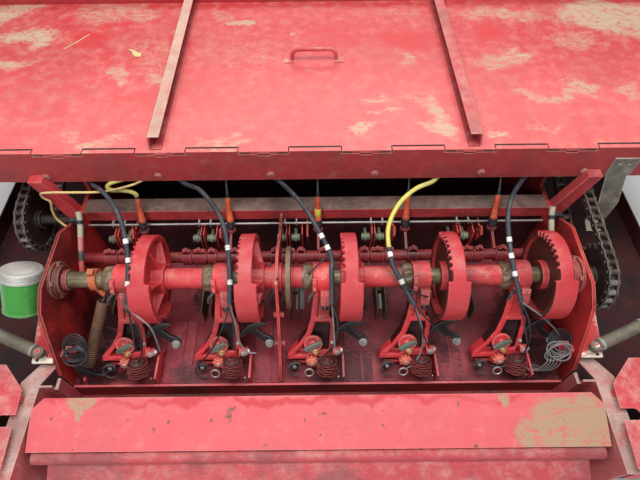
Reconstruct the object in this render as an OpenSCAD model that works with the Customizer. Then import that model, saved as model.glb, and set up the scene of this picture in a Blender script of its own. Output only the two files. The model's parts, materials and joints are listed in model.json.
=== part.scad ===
// Knotter bank of a large square baler: five knotters under an open hood, as one module.
// Frame: X to the right, Y away from the operator, Z up, the base flanges stand on Z = 0.

/* [Bay] */
// Distance between two knotters
pitch = 240; // [225:1:245]
// Inner width of the bay, wall to wall
bay_w = 1270; // [1260:2:1300]
// Height of the knotter table above the base
deck_z = 75; // [60:1:80]
// Sheet of the knotter table
deck_t = 5; // [4:1:8]
// Plate of the side walls
wall_t = 8; // [6:1:10]
// Front edge of the knotter table
deck_front = -428; // [-430:1:-426]
// Width of the whole module, over the hood
hood_w = 2100; // [2080:2:2120]
// Depth of the whole module
bay_depth = 1340; // [1336:1:1344]
// Width of a base flange
foot_w = 40; // [35:1:45]
// Sheet of the floor pans beside the bay
pan_t = 4; // [3:0.5:5]

/* [Hood and beam] */
// Depth of the hood sheet
hood_d = 670; // [660:1:672]
// Underside of the hood sheet above the base
hood_z = 487; // [486:1:489]
// Hood sheet
hood_t = 3; // [2:0.5:4]
// Height of the beam face
beam_h = 90; // [80:1:96]
// Sheet of the beam
beam_t = 4; // [3:0.5:5]
// Distance between two hinge tabs
tab_pitch = 250; // [245:1:255]
// Width of a hinge tab
tab_w = 125; // [110:1:135]
// Sideways place of the two hood ribs
rib_x = 384; // [370:1:390]
// Height of a hood rib
rib_h = 34; // [25:1:40]
// Width of the hood handle
handle_w = 133; // [110:1:150]
// Height of the hood handle
handle_h = 40; // [32:1:45]
// Radius of the handle bar
handle_r = 5.5; // [4:0.5:7]

/* [Knotter shaft] */
// Place of the knotter shaft along Y
shaft_y = -240; // [-244:1:-236]
// Height of the knotter shaft
shaft_z = 300; // [296:1:304]
// Radius of the bare shaft
shaft_r = 20; // [18:0.5:20]
// Radius of the sleeves between the discs
sleeve_r = 26; // [24:0.5:28]
// Running clearance of the shaft in its bearings and knotter hubs
run_gap = 0.06; // [0.05:0.01:0.1]

/* [Cam disc] */
// Outer radius of a disc
disc_r = 108; // [104:1:110]
// Thickness of the rim
rim_t = 14; // [10:1:16]
// Width of the rim along its toothed sector
rim_w = 32; // [28:1:34]
// Width of the rim along its wide sector
cam_w = 52; // [48:1:54]
// Sideways place of the disc in its knotter
disc_x = 80; // [79:0.5:82]
// Thickness of the web
web_t = 9; // [7:0.5:12]
// Number of web ribs
rib_n = 6; // [5:1:8]
// Height of the teeth on the left face
tooth_h = 6; // [4:0.5:6]
// How far the hub stands out beyond the wide sector
hub_out = 9; // [6:1:12]

/* [Knotter] */
// Lean of the knotter frame against the upright
lean = 31.4; // [31:0.1:32]
// Radius of the hub on the shaft
hub_r = 37; // [34:0.5:38]
// Thickness of the frame's recess and bottom bar
cast_t = 10; // [8:0.5:11]
// Depth of the frame's curved arm
arm_d = 30; // [28:1:34]
// Radius of the twine discs
twine_r = 28; // [25:0.5:29]
// Number of twine discs
twine_n = 5; // [3:1:5]
// Radius of the star pinion at its tooth tips
star_r = 16; // [14:0.5:17]

/* [Front] */
// Width of the apron
apron_w = 1336; // [1330:1:1338]
// Sheet of the apron
apron_t = 4; // [3:0.5:5]
// Radius of the rolled edge below the apron
roll_r = 16; // [14:0.5:17]

/* [Drive chains] */
// Chain pitch
link_p = 25.4; // [19.05:6.35:25.4]
// Teeth of the large sprocket
big_n = 20; // [18:1:21]
// Teeth of the small sprocket
small_n = 12; // [11:1:13]
// Distance from the wall to the middle of the chain
chain_off = 79; // [78:0.5:82]

/* [Lines] */
// Radius of a wrapped line bundle
bundle_r = 6; // [5:0.5:6]
// Radius of a single line
line_r = 2.2; // [1.8:0.1:2.4]

/* [Hidden] */

$fn = 48;
eps = 0.01;
red = [0.74, 0.2, 0.22];
dark_red = [0.5, 0.14, 0.16];
pale_red = [0.85, 0.36, 0.38];
grease = [0.42, 0.33, 0.25];
steel = [0.72, 0.72, 0.7];
dark = [0.13, 0.13, 0.14];

half = bay_w / 2;
front_y = -bay_depth / 2;
rear_y = bay_depth / 2;
wall_out = half + wall_t;
plate_t = 5;
last = 2;
beam_top = hood_z - 8;
beam_low = beam_top - beam_h;
hinge_y = 6;
hinge_z = hood_z - 6;
pin_r = 2.5;
rail_y = -20;
rail_z = 286;
rail_h = 38;
rail_d = 46;

// A profile drawn in (Y, Z), pulled out along X from x0 by w
module yz(x0, w) {
    translate([x0, 0, 0]) rotate([90, 0, 90]) linear_extrude(w) children();
}

// A round bar along X
module bar_x(x0, x1, y, z, r) {
    translate([x0, y, z]) rotate([0, 90, 0]) cylinder(h = x1 - x0, r = r);
}

// A straight round bar between two points
module rod(a, b, r, r2 = -1) {
    d = b - a;
    len = norm(d);
    translate(a)
        rotate([0, acos(d[2] / len), atan2(d[1], d[0])])
            cylinder(h = len, r1 = r, r2 = r2 < 0 ? r : r2);
}

// Copies the children to the left side, mirrored
module side(left) {
    if (left) mirror([1, 0, 0]) children();
    else children();
}

// A hexagon bolt head along X, seated at x0, pointing to dir
module bolt_x(x0, y, z, dir = 1, r = 9, h = 6) {
    translate([dir > 0 ? x0 : x0 - h, y, z]) rotate([0, 90, 0]) cylinder(h = h, r = r, $fn = 6);
}

// Table with the needle slots

slot_w = 24;
slot_l = 90;
slot_x = -48;
slot_y = -215;
table_rear = rear_y - 12;

module knotter_table() {
    color(dark_red) difference() {
        union() {
            translate([-half, deck_front, deck_z - deck_t])
                cube([bay_w, table_rear - deck_front, deck_t]);
            for (k = [-last:last])
                leaning(k) translate([-74, face + arm_d - 11, -262]) cube([45, 11, 34]);
        }
        for (k = [-last:last])
            translate([k * pitch + slot_x - slot_w / 2, slot_y, deck_z - deck_t - 1])
                cube([slot_w, slot_l, deck_t + 2]);
    }
}

rail_t = 6;
front_rail_h = 52;

module front_rail() {
    color(red) {
        translate([-half, deck_front - rail_t, deck_z - front_rail_h])
            cube([bay_w, rail_t, front_rail_h + 3]);
        yz(-half + 28, 6) polygon([
            [deck_front, deck_z], [deck_front, deck_z + 3], [deck_front + 6, deck_z + 20],
            [deck_front + 16, deck_z + 20], [deck_front + 20, deck_z]
        ]);
    }
}

sill_z = 12;

module front_sill() {
    color(dark_red) yz(-half, bay_w) polygon([
        [deck_front, 0], [deck_front, deck_z - front_rail_h],
        [deck_front - rail_t, deck_z - front_rail_h],
        [deck_front - rail_t, sill_z], [front_y + 30, sill_z], [front_y + 30, 0]
    ]);
}

// Apron: a sloping sheet with chamfered ends over a rolled edge

apron_top_y = -494;
apron_top_z = 187;
apron_low_y = front_y + 64;
apron_low_z = 150;
apron_cut = 26;
apron_run = norm([apron_top_y - apron_low_y, apron_top_z - apron_low_z]);
apron_tilt = atan2(apron_top_z - apron_low_z, apron_top_y - apron_low_y);
web_y = apron_top_y - 30;

// Height of the apron's underside at y
function apron_under(y) = apron_low_z + (y - apron_low_y) * tan(apron_tilt) - apron_t / cos(apron_tilt);

module apron() {
    w = apron_w / 2;
    color(pale_red) {
        translate([0, apron_low_y, apron_low_z]) rotate([apron_tilt, 0, 0])
            translate([0, 0, -apron_t]) linear_extrude(apron_t) polygon([
                [-w, 0], [w, 0], [w, apron_run - apron_cut], [w - apron_cut, apron_run],
                [-w + apron_cut, apron_run], [-w, apron_run - apron_cut]
            ]);
        yz(-w + 30, apron_w - 60) polygon([
            [web_y, apron_under(web_y)], [web_y + 6, apron_under(web_y + 6)], [web_y + 6, sill_z], [web_y, sill_z]
        ]);
    }
}

roll_y = apron_low_y - 6;
roll_z = apron_low_z - apron_t - roll_r - 2;
foot_y = front_y;
foot_z = 96;

module apron_foot() {
    w = apron_w / 2 - 12;
    color(pale_red) {
        difference() {
            bar_x(-w, w, roll_y, roll_z, roll_r);
            bar_x(-w - 1, w + 1, roll_y, roll_z, roll_r - apron_t);
        }
        difference() {
            yz(-w + 34, 2 * w - 68) polygon([
                [roll_y - roll_r + 2, roll_z - 6], [roll_y - roll_r + 6, roll_z - 10],
                [foot_y + 4, foot_z], [foot_y + 4, 0], [foot_y, 0], [foot_y, foot_z + 4]
            ]);
            for (x = [-280, 330])
                translate([x - 60, foot_y - 5, foot_z - 3]) cube([120, 14, 3]);
        }
        for (x = [-w + 40, -3, w - 46])
            yz(x, 6) polygon([
                [roll_y + 8, roll_z - roll_r + 4], [roll_y + 8, sill_z], [front_y + 30, sill_z],
                [front_y + 30, 0], [foot_y + 4, 0],
                [foot_y + 4, foot_z - 4], [roll_y - 8, roll_z - roll_r + 4]
            ]);
    }
}

// Side walls, their flanges beside the apron and the outer corner panels

wall_top = [
    [apron_top_y + 66, 150], [-372, 262], [-340, 318], [-292, 348], [-135, 352], [-64, 306],
    [rail_y - 8, rail_z + 2], [60, rail_z + 2], [60, beam_top], [rear_y - 6, beam_top]
];

// Bolt holes in the base flanges
bolt_mid = 100;
bolt_span = 900;
bolt_hole_r = 7;
pan_z = 1;
pan_front = front_y + 20;
panel_low = 60;
pan_lip = panel_low - pan_z - 1;

module side_wall(left) {
    pan_x = wall_out + foot_w - 0.5;
    side(left) color(red) {
        difference() {
            yz(half, wall_t) polygon(concat([[rear_y - 6, 0], [deck_front - rail_t, 0]], wall_top));
            bar_x(half - 1, wall_out + 1, shaft_y, shaft_z, hub_r);
        }
        difference() {
            translate([wall_out, deck_front - rail_t, 0])
                cube([foot_w, rear_y - 6 - deck_front + rail_t, wall_t]);
            for (s = [-1, 1])
                translate([wall_out + foot_w / 2, bolt_mid + s * bolt_span / 2, -1])
                    cylinder(h = wall_t + 2, r = bolt_hole_r);
        }
        translate([pan_x, pan_front, pan_z]) cube([hood_w / 2 - pan_x - 2, rear_y - 7 - pan_front, pan_t]);
        translate([hood_w / 2 - 2 - pan_t, pan_front, pan_z + 1])
            cube([pan_t, rear_y - 8 - pan_front, pan_lip]);
    }
}

flange_x = apron_w / 2 + 4;
flange_w = 48;
flange_z = 168;
flange_rear = deck_front + 22;

module side_flange(left) {
    side(left) color(red) {
        translate([0, 0, flange_z - plate_t]) linear_extrude(plate_t) polygon([
            [flange_x, front_y + 4], [flange_x + flange_w, front_y + 4],
            [flange_x + flange_w, flange_rear - 44], [flange_x + 14, flange_rear],
            [wall_out, flange_rear], [flange_x, flange_rear - 50]
        ]);
        translate([flange_x, front_y + 4, 0]) cube([plate_t, flange_rear - 50 - front_y - 4, flange_z - 1]);
        translate([wall_out, deck_front - rail_t - 28, 0]) cube([flange_x - wall_out + 1, plate_t, flange_z - 1]);
        translate([half, deck_front - rail_t - 28, 0]) cube([wall_t, 28, 150]);
    }
}

panel_z = 190;
panel_t = 4;
panel_rear = -412;
notch_w = 13;
notch_y = -545;

module corner_panel(left) {
    x1 = hood_w / 2 - 2;
    side(left) color(pale_red) {
        translate([0, 0, panel_z - panel_t]) linear_extrude(panel_t) difference() {
            polygon([
                [x1, front_y + 10], [x1, panel_rear], [flange_x + 86, panel_rear], [flange_x + 26, -474],
                [flange_x + 14, front_y + 10]
            ]);
            translate([flange_x + 52, notch_y]) circle(r = notch_w);
            translate([flange_x + 8, notch_y - notch_w]) square([44, 2 * notch_w]);
        }
        translate([x1 - panel_t, front_y + 10, panel_low])
            cube([panel_t, panel_rear - front_y - 10, panel_z - panel_low - 1]);
        translate([flange_x + flange_w, front_y + 10, panel_low])
            cube([x1 - flange_x - flange_w, panel_t, panel_z - panel_low - 1]);
        for (y = [front_y + 30, front_y + 80, -500])
            translate([flange_x + flange_w - 22, y, flange_z]) cube([20, 16, panel_z - panel_t - flange_z]);
    }
}

// Rear rail, the plate below it and the thin guide rod

module rear_rail() {
    color(red) {
        translate([-half, rail_y, rail_z - 5]) cube([bay_w, rail_d, 5]);
        translate([-half, rail_y, rail_z - rail_h]) cube([bay_w, 5, rail_h]);
    }
}

module back_plate() {
    color(dark_red) translate([-half, rail_y + 5, deck_z]) cube([bay_w, 5, rail_z - 5 - deck_z]);
}

rod_y = rail_y - 12;
rod_z = 243;

module guide_rod() {
    color(steel) {
        bar_x(-half + 2, half - 2, rod_y, rod_z, 3);
        for (k = [-last:last], x = [-86, -54])
            translate([k * pitch + x - 2, rod_y - 5, rod_z - 5])
                cube([4, rail_y - rod_y + 10, 10]);
    }
}

// Beam with the hinge tabs, frame rails under the hood and the back of the bay

// Half width of a hood knuckle
knuckle = 14;

module cross_beam() {
    color(dark_red) {
        difference() {
            translate([-hood_w / 2, 0, beam_low]) cube([hood_w, 60, beam_h]);
            translate([-hood_w / 2 - 1, beam_t, beam_low - 1]) cube([hood_w + 2, 60, beam_h + 1 - beam_t]);
            for (k = [-3:2])
                translate([(k + 0.5) * tab_pitch - knuckle - 0.8, -1, beam_top - beam_t - 1])
                    cube([2 * knuckle + 1.6, 16, beam_t + 2]);
        }
        for (k = [-3:3])
            translate([k * tab_pitch - tab_w / 2, 0, 0]) {
                translate([0, 0, beam_top - 1]) cube([tab_w, 3, hood_z + hood_t - beam_top + 1]);
                translate([0, 0, hood_z]) cube([tab_w, 14, hood_t]);
            }
        for (k = [-3:2], s = [-1, 1])
            translate([(k + 0.5) * tab_pitch + s * 24, 0, 0]) difference() {
                union() {
                    bar_x(-9, 9, hinge_y, hinge_z, 5);
                    translate([-9, hinge_y - 4, beam_top - 1]) cube([18, 12, hinge_z - beam_top + 1]);
                }
                bar_x(-10, 10, hinge_y, hinge_z, pin_r);
            }
        for (k = [-3:2])
            bar_x((k + 0.5) * tab_pitch - 34, (k + 0.5) * tab_pitch + 34, hinge_y, hinge_z, pin_r);
    }
}

module hood_frame() {
    top = hood_z;
    color(dark_red) {
        for (s = [-1, 1]) {
            translate([s > 0 ? hood_w / 2 - 40 : -hood_w / 2, 60, top - 5]) cube([40, rear_y - 66, 5]);
            translate([s > 0 ? hood_w / 2 - 5 : -hood_w / 2, 60, top - 90]) cube([5, rear_y - 66, 86]);
            translate([s * (wall_out + hood_w / 2) / 2 - (hood_w / 2 - wall_out) / 2, 300, top - 45])
                cube([hood_w / 2 - wall_out, 5, 41]);
        }
        translate([-hood_w / 2, rear_y - 6, top - 90]) cube([hood_w, 5, 90]);
        translate([-hood_w / 2 + 1, rear_y - 6, 0]) cube([hood_w - 2, 5, top - 89]);
    }
}

module hood() {
    color(pale_red) {
        difference() {
            translate([-hood_w / 2, 0, hood_z]) cube([hood_w, hood_d, hood_t]);
            for (k = [-3:3])
                translate([k * tab_pitch - tab_w / 2 - 3, -1, hood_z - 1]) cube([tab_w + 6, 18, hood_t + 2]);
        }
        for (k = [-3:2])
            translate([(k + 0.5) * tab_pitch, 0, 0]) difference() {
                union() {
                    bar_x(-knuckle, knuckle, hinge_y, hinge_z, 5);
                    translate([-knuckle, hinge_y, hinge_z]) cube([2 * knuckle, 8, hood_z - hinge_z]);
                }
                bar_x(-15, 15, hinge_y, hinge_z, pin_r + run_gap);
            }
    }
}

rib_y = 8;

module hood_ribs() {
    len = hood_d - rib_y - 4;
    z = hood_z + hood_t;
    color(dark_red) for (s = [-1, 1])
        translate([s * rib_x, rib_y, z]) {
            translate([s > 0 ? -13 : -15, 0, 0]) rotate([90, 0, 90]) linear_extrude(28)
                polygon([[0, 0], [len, 0], [len, 4], [0, 4]]);
            rotate([90, 0, 90]) translate([0, 0, s > 0 ? 11 : -15]) linear_extrude(4)
                polygon([[0, 0], [len, 0], [len, rib_h], [8, rib_h], [0, rib_h - 14]]);
            rotate([90, 0, 90]) translate([0, 0, s > 0 ? -13 : -15]) linear_extrude(28)
                polygon([[10, rib_h - 4], [len, rib_h - 4], [len, rib_h], [8, rib_h]]);
        }
}

handle_y = 358;

module hood_handle() {
    z = hood_z + hood_t;
    w = handle_w / 2 - handle_r;
    bend = 20;
    color(dark_red) translate([0, handle_y, z]) {
        bar_x(-w + bend, w - bend, 0, handle_h - handle_r, handle_r);
        for (s = [-1, 1]) {
            translate([s * w, 0, 0]) cylinder(h = handle_h - handle_r - bend, r = handle_r);
            translate([s * (w - bend), 0, handle_h - handle_r - bend]) rotate([90, 0, 0])
                rotate([0, 0, s > 0 ? 0 : 90])
                    rotate_extrude(angle = 90) translate([bend, 0]) circle(r = handle_r);
            translate([s * (w + 8) - 16, -12, 0]) cube([32, 24, 2.5]);
        }
    }
}

// Box braces between the beam's face and the walls

brace_y = 0;
brace_d = 26;

module braces() {
    low = rail_z - 24;
    color(red) for (left = [true, false])
        side(left) {
            translate([0, brace_y, 0]) rotate([90, 0, 0]) linear_extrude(brace_d) polygon([
                [wall_out, rail_z + 4], [wall_out + 45, beam_low + 26], [wall_out + 80, beam_low + 26],
                [wall_out + 34, low], [wall_out, low]
            ]);
            translate([wall_out, brace_y - brace_d - 3, low - 4]) cube([38, brace_d + 3, 4]);
        }
}

// Knotter shaft with its sleeves

hub_x0 = -8;
hub_x1 = 34;
disc_l = disc_x - cam_w / 2;
disc_rt = disc_x + cam_w / 2;

// Thrust disc on the shaft beside the centre support
guard_x = -72;
guard_r = 76;

module knotter_shaft() {
    color(red) {
        bar_x(-half - 12, half + 28, shaft_y, shaft_z, shaft_r);
        for (k = [-last:last - 1])
            bar_x(k * pitch + disc_rt + hub_out, (k + 1) * pitch + hub_x0 - 26, shaft_y, shaft_z, sleeve_r);
        bar_x(last * pitch + disc_rt + hub_out, half - 26, shaft_y, shaft_z, sleeve_r - 2);
        bar_x(-half + 22, -half + 34, shaft_y, shaft_z, sleeve_r);
        bar_x(guard_x, guard_x + 11, shaft_y, shaft_z, guard_r);
        for (k = [1 - last:last])
            for (x = [-22, -12])
                bar_x(k * pitch + hub_x0 + x, k * pitch + hub_x0 + x + 8, shaft_y, shaft_z, sleeve_r + 3);
    }
}

// Cam disc: toothed sector behind, wide sector in front, ribbed web and a hub
// Angles run in the (Y, Z) plane from the rear over the top

wide_from = 128;
wide_to = 262;
tooth_from = 40;
tooth_n = 9;
tooth_step = 9;
hub_disc_r = 36;

function polar(r, a) = [r * cos(a), r * sin(a)];

// A pie slice in (Y, Z) from angle a to b
module slice(a, b, r) {
    n = ceil((b - a) / 30);
    polygon(concat([[0, 0]], [for (i = [0:n]) polar(r, a + (b - a) * i / n)]));
}

module cam_disc(k) {
    w0 = disc_x - rim_w / 2;
    color(red) translate([k * pitch, shaft_y, shaft_z]) difference() {
        union() {
            yz(w0, rim_w) difference() {
                circle(r = disc_r, $fn = 96);
                circle(r = disc_r - rim_t, $fn = 96);
            }
            yz(disc_l, cam_w) intersection() {
                difference() {
                    circle(r = disc_r, $fn = 96);
                    circle(r = disc_r - rim_t - 2, $fn = 96);
                }
                slice(wide_from, wide_to, 2 * disc_r);
            }
            yz(disc_x - web_t / 2, web_t) circle(r = disc_r - 2, $fn = 96);
            bar_x(disc_l + 4, disc_rt + hub_out, 0, 0, hub_disc_r);
            for (i = [0:rib_n - 1])
                rotate([90, 0, 90]) rotate([0, 0, 20 + i * 360 / rib_n]) rotate([90, 0, 0])
                    translate([0, 0, -4]) linear_extrude(8) polygon([
                        [hub_disc_r - 3, disc_x], [disc_r - rim_t + 1, disc_x],
                        [disc_r - rim_t + 1, disc_x + rim_w / 2 - 2],
                        [hub_disc_r - 3, disc_rt + hub_out - 3]
                    ]);
            for (i = [0:tooth_n - 1])
                rotate([tooth_from + i * tooth_step, 0, 0])
                    translate([0, disc_r, 0]) rotate([0, 0, 180])
                        linear_extrude(5, center = true) polygon([
                            [-w0 - 2, 0], [-w0 + tooth_h, 0], [-w0 + tooth_h, rim_t], [-w0 - 2, rim_t]
                        ]);
        }
        bar_x(disc_l - 1, disc_rt + hub_out + 1, 0, 0, shaft_r);
        yz(disc_rt - 22, 40) translate([-disc_r - 4, -disc_r - 6]) rotate([0, 0, 14])
            square([50, 64]);
    }
}

// Knotter frame: a hub on the shaft, a curved arm, a window and a foot, leaning forward

face = -23;

// Places the children in the knotter's leaning frame: x across, z up along the lean
module leaning(k) {
    translate([k * pitch, shaft_y, shaft_z]) rotate([-lean, 0, 0]) children();
}

// A profile drawn in (x, s), s down from the shaft along the lean, thick t, front at y0
module cast(y0, t) {
    translate([0, y0 + t, 0]) rotate([90, 0, 0]) linear_extrude(t) mirror([0, 1]) children();
}

// Right arm of the casting: its edge at a distance s from the shaft
arm_x = 46;
arm_s = 128;
function arm_edge(s) = arm_x - 6 * (s - arm_s) / 92;

stack_x = 24;
stack_y = -53;
stack_s = 238;
stack_p = 7.5;
star_x = -17;
star_s = 238;
plate_s = 178;

// Pins that the casting carries; gap is the clearance in its bores
module head_pins(gap) {
    translate([star_x, face + arm_d - 12, -star_s]) rotate([90, 0, 0]) cylinder(h = 32, r = 6 + gap);
    translate([arm_edge(206) - 7, face + 6, -206]) rotate([0, 90, 0]) cylinder(h = 22, r = 11 + gap);
}

module knotter_frame(k) {
    color(red) difference() {
        union() {
            translate([k * pitch, shaft_y, shaft_z]) bar_x(hub_x0, hub_x1, 0, 0, hub_r);
            leaning(k) {
                cast(face, arm_d) polygon([
                    [-6, 22], [6, 22], [5, 60], [-1, 108], [-13, 150], [-40, 190], [-60, 216],
                    [-24, 216], [-24, 228], [-79, 228], [-76, 214], [-50, 186], [-27, 148], [-16, 105]
                ]);
                cast(face + 6, 40) polygon([[4, 24], [32, 24], [32, 106], [-2, 106]]);
                cast(face - 2, 34) polygon([
                    [-4, 104], [40, 104], [arm_x, arm_s + 2], [34, arm_s + 2], [31, 114], [-6, 114]
                ]);
                cast(face, arm_d - cast_t) polygon([
                    [34, arm_s], [arm_x, arm_s], [arm_edge(220), 220], [22, 222], [22, 208], [29, 200]
                ]);
                cast(face, cast_t) polygon([[-10, 202], [30, 202], [34, 222], [-6, 224], [-30, 228], [-30, 216]]);
                cast(face + arm_d - cast_t, cast_t) polygon([
                    [-2, 106], [34, 106], [40, 212], [22, 222], [-52, 222], [-30, 190], [-12, 150]
                ]);
                cast(face, cast_t) translate([star_x, star_s]) circle(r = 12);
                translate([stack_x - 12, stack_y - 13, -stack_s - 6]) cube([24, face + cast_t - stack_y + 13, 6]);
                translate([stack_x - 12, face, -stack_s - 6]) cube([24, cast_t, stack_s + 6 - 216]);
            }
        }
        translate([k * pitch, shaft_y, shaft_z]) bar_x(hub_x0 - 60, hub_x1 + 20, 0, 0, shaft_r + run_gap);
        leaning(k) head_pins(run_gap);
    }
}

// Point of knotter k = 0 given as x, depth and distance s from the shaft along the lean
function knot(x, y, s) =
    [x, shaft_y + y * cos(lean) - s * sin(lean), shaft_z - y * sin(lean) - s * cos(lean)];

nipple_x = 38;
nipple_s = 176;
nipple_l = 8;

// A star pinion with n square teeth
module star(n, r, root, h) {
    linear_extrude(h) polygon([for (i = [0:4 * n - 1]) polar(i % 4 < 2 ? r : root, i * 90 / n)]);
}

module knotter_head(k) {
    color(dark_red) leaning(k) {
        head_pins(0);
        translate([nipple_x, face, -nipple_s]) rotate([90, 0, 0]) cylinder(h = nipple_l, r = 4);
        translate([-10, face - 1, -plate_s]) rotate([90, 0, 0]) cylinder(h = 6, r = 24);
        translate([-10, face + arm_d - cast_t, -plate_s]) rotate([90, 0, 0]) cylinder(h = arm_d - cast_t + 7, r = 8);
        cast(face - 14, 8) polygon([[-30, 186], [4, 170], [12, 176], [2, 184], [-18, 192]]);
        translate([star_x, face - 2, -star_s]) rotate([90, 0, 0]) star(10, star_r, star_r - 5, 12);
        translate([star_x - 42, face + 18, -star_s - 8]) rotate([90, 0, 0]) cylinder(h = 22, r = 5);
        translate([star_x - 42, face - 1, -star_s - 8]) rotate([90, 0, 0]) cylinder(h = 8, r = 12);
        translate([star_x - 46, face + cast_t, -star_s - 11]) cube([46, 8, 6]);
        translate([stack_x, stack_y, -stack_s]) {
            cylinder(h = twine_n * stack_p + 8, r = 10);
            for (i = [0:twine_n - 1])
                translate([0, 0, i * stack_p]) difference() {
                    cylinder(h = 4, r = i % 2 == 0 ? twine_r : twine_r - 4);
                    for (j = [0:3])
                        rotate([0, 0, j * 90 + i * 20]) translate([twine_r - 6, -4, -1]) cube([12, 8, 6]);
                }
        }
        translate([arm_edge(206) + 15, face + 6, -206]) rotate([0, 90, 0]) cylinder(h = 8, r = 7, $fn = 6);
        cast(face + 4, 9) polygon([
            [arm_edge(150), 150], [66, 126], [92, 118], [112, 126], [92, 130], [104, 154], [124, 164], [130, 186],
            [116, 194], [104, 174], [84, 160], [70, 146], [arm_edge(162), 162]
        ]);
        translate([118, face + 8, -180]) rotate([90, 0, 0]) cylinder(h = 14, r = 10, $fn = 6);
    }
    color(red) yz(k * pitch + 64, 5) polygon([
        [deck_front, deck_z], [deck_front + 98, deck_z], [deck_front + 60, deck_z + 46], [deck_front, deck_z + 46]
    ]);
}

// Cross tube with its clamps, the nozzles, rollers and guides behind the shaft

tube_y = -122;
tube_z = 212;
tube_r = 15;

module cross_tube() {
    color(red) bar_x(-half, half, tube_y, tube_z, tube_r);
}

nozzle_x = 6;
nozzle_top = [nozzle_x, -14, 334];
nozzle_low = [nozzle_x, -46, 262];
fitting = [0, -7, -15.7];

// Clamps: place in the knotter, width
clamp_list = [[-92, 34], [-52, 22], [8, 26], [118, 24]];

module tube_clamps() {
    color(dark_red) for (k = [-last:last]) {
        for (c = clamp_list)
            translate([k * pitch + c[0], 0, 0]) difference() {
                union() {
                    bar_x(0, c[1], tube_y, tube_z, tube_r + 6);
                    translate([2, tube_y - 5, tube_z]) cube([c[1] - 4, 10, tube_r + 18]);
                    translate([c[1] / 2, tube_y, tube_z + tube_r + 16]) cylinder(h = 8, r = 6, $fn = 6);
                }
                bar_x(-1, c[1] + 1, tube_y, tube_z, tube_r);
            }
        translate([k * pitch, 0, 0]) rod(nozzle_low + fitting, nozzle_low + 1.35 * fitting, 13);
        yz(k * pitch + nozzle_x - 3, 6) polygon([
            [tube_y + 10, tube_z + 16], [tube_y + 20, tube_z + 4], [nozzle_low[1] - 4, nozzle_low[2] - 24],
            [nozzle_low[1] - 15, nozzle_low[2] - 18.5]
        ]);
    }
}

module nozzles() {
    color([0.77, 0.32, 0.18]) for (k = [-last:last]) translate([k * pitch, 0, 0]) {
        rod(nozzle_low, nozzle_top, 9, 6);
        rod(nozzle_low, nozzle_low + fitting, 12);
        rod(nozzle_top, nozzle_top + [0, 6.4, 14.4], 4);
        rod(nozzle_top + [0, 6.4, 14.4], [nozzle_x, 16, beam_low - 3], 2.6);
    }
}

module twine_rollers() {
    color([0.45, 0.5, 0.4]) for (k = [-last:last], x = [-110, -70])
        translate([k * pitch + x, 0, 0]) {
            bar_x(0, 24, -44, 190, 11);
            bar_x(10, 14, -44, 190, 14);
            rod([12, -44, 190], [12, rail_y + 5, 190], 5);
        }
}

module twine_guides() {
    color(red) for (k = [-last:last]) {
        for (x = [-84, -76, -40])
            yz(k * pitch + x, 3) polygon([
                [rail_y, 226], [-58, 226], [-66, 180], [-48, 128], [rail_y + 5, 120], [rail_y + 5, 226]
            ]);
        yz(k * pitch - 26, 5) difference() {
            polygon([[rail_y + 5, 237], [-42, 237], [-56, 252], [-74, 236], [-60, 190], [rail_y + 5, 170]]);
            for (q = [[-56, 238], [-44, 222], [-58, 216]]) translate(q) circle(r = 4);
        }
    }
}

// Shaft bearings on the walls

module bearing(left) {
    side(left) color(dark_red) difference() {
        union() {
            bar_x(half - 6, half, shaft_y, shaft_z, 46);
            bar_x(half - 20, half + wall_t - 1, shaft_y, shaft_z, hub_r - 0.5);
            for (a = [45, 135, 225, 315])
                bolt_x(half - 6, shaft_y + 38 * cos(a), shaft_z + 38 * sin(a), -1, 8, 6);
        }
        bar_x(half - 40, half + wall_t + 20, shaft_y, shaft_z, shaft_r + run_gap);
    }
}

// Upright support bar beside knotter 3

support_x = -98;
support_t = 7;

module centre_support() {
    color(red) {
        difference() {
            union() {
                yz(support_x, support_t) polygon([
                    [rail_y, 272], [-118, 304], [shaft_y + 46, shaft_z + 46], [shaft_y - 44, shaft_z + 42],
                    [-322, 244], [-366, 176], [deck_front + 2, deck_z + 16], [deck_front + 2, deck_z],
                    [deck_front + 44, deck_z], [-322, 168], [shaft_y + 6, shaft_z - 52],
                    [-160, 262], [-112, 262], [rail_y, 252]
                ]);
                bar_x(support_x - 7, support_x + support_t + 7, shaft_y, shaft_z, sleeve_r + 9);
                for (p = [[-306, 230], [-352, 160]])
                    bar_x(support_x - 9, support_x + support_t + 9, p[0], p[1], 8);
            }
            bar_x(support_x - 20, support_x + support_t + 20, shaft_y, shaft_z, sleeve_r + run_gap);
        }
    }
}

// Extension spring from the clamp on the shaft's guard to the front rail

spring_top = [-527, -262, 262];
spring_low = [-600, -402, 96];
spring_r = 15;
clamp_x = -540;

module tension_spring() {
    d = spring_low - spring_top;
    len = norm(d);
    n = 34;
    color(grease) translate(spring_top)
        rotate([0, acos(d[2] / len), atan2(d[1], d[0])]) {
            for (i = [0:n - 1])
                translate([0, 0, 18 + i * (len - 36) / n])
                    cylinder(h = (len - 36) / n + eps, r1 = spring_r, r2 = spring_r - 1.5, $fn = 24);
            translate([0, 0, 2]) cylinder(h = 17, r = 3);
            translate([0, 0, len - 19]) cylinder(h = 17, r = 3);
        }
}

module spring_clamp() {
    color([0.6, 0.3, 0.2]) difference() {
        union() {
            bar_x(clamp_x - 8, clamp_x + 8, shaft_y, shaft_z, shaft_r + 7);
            translate([clamp_x - 7, shaft_y - 8, shaft_z]) cube([14, 14, 40]);
            rod([clamp_x, shaft_y - 14, shaft_z - 22], spring_top + [0, 0, 2], 7);
        }
        bar_x(clamp_x - 20, clamp_x + 20, shaft_y, shaft_z, shaft_r + run_gap);
    }
}

// Gas struts and their brackets

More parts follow.
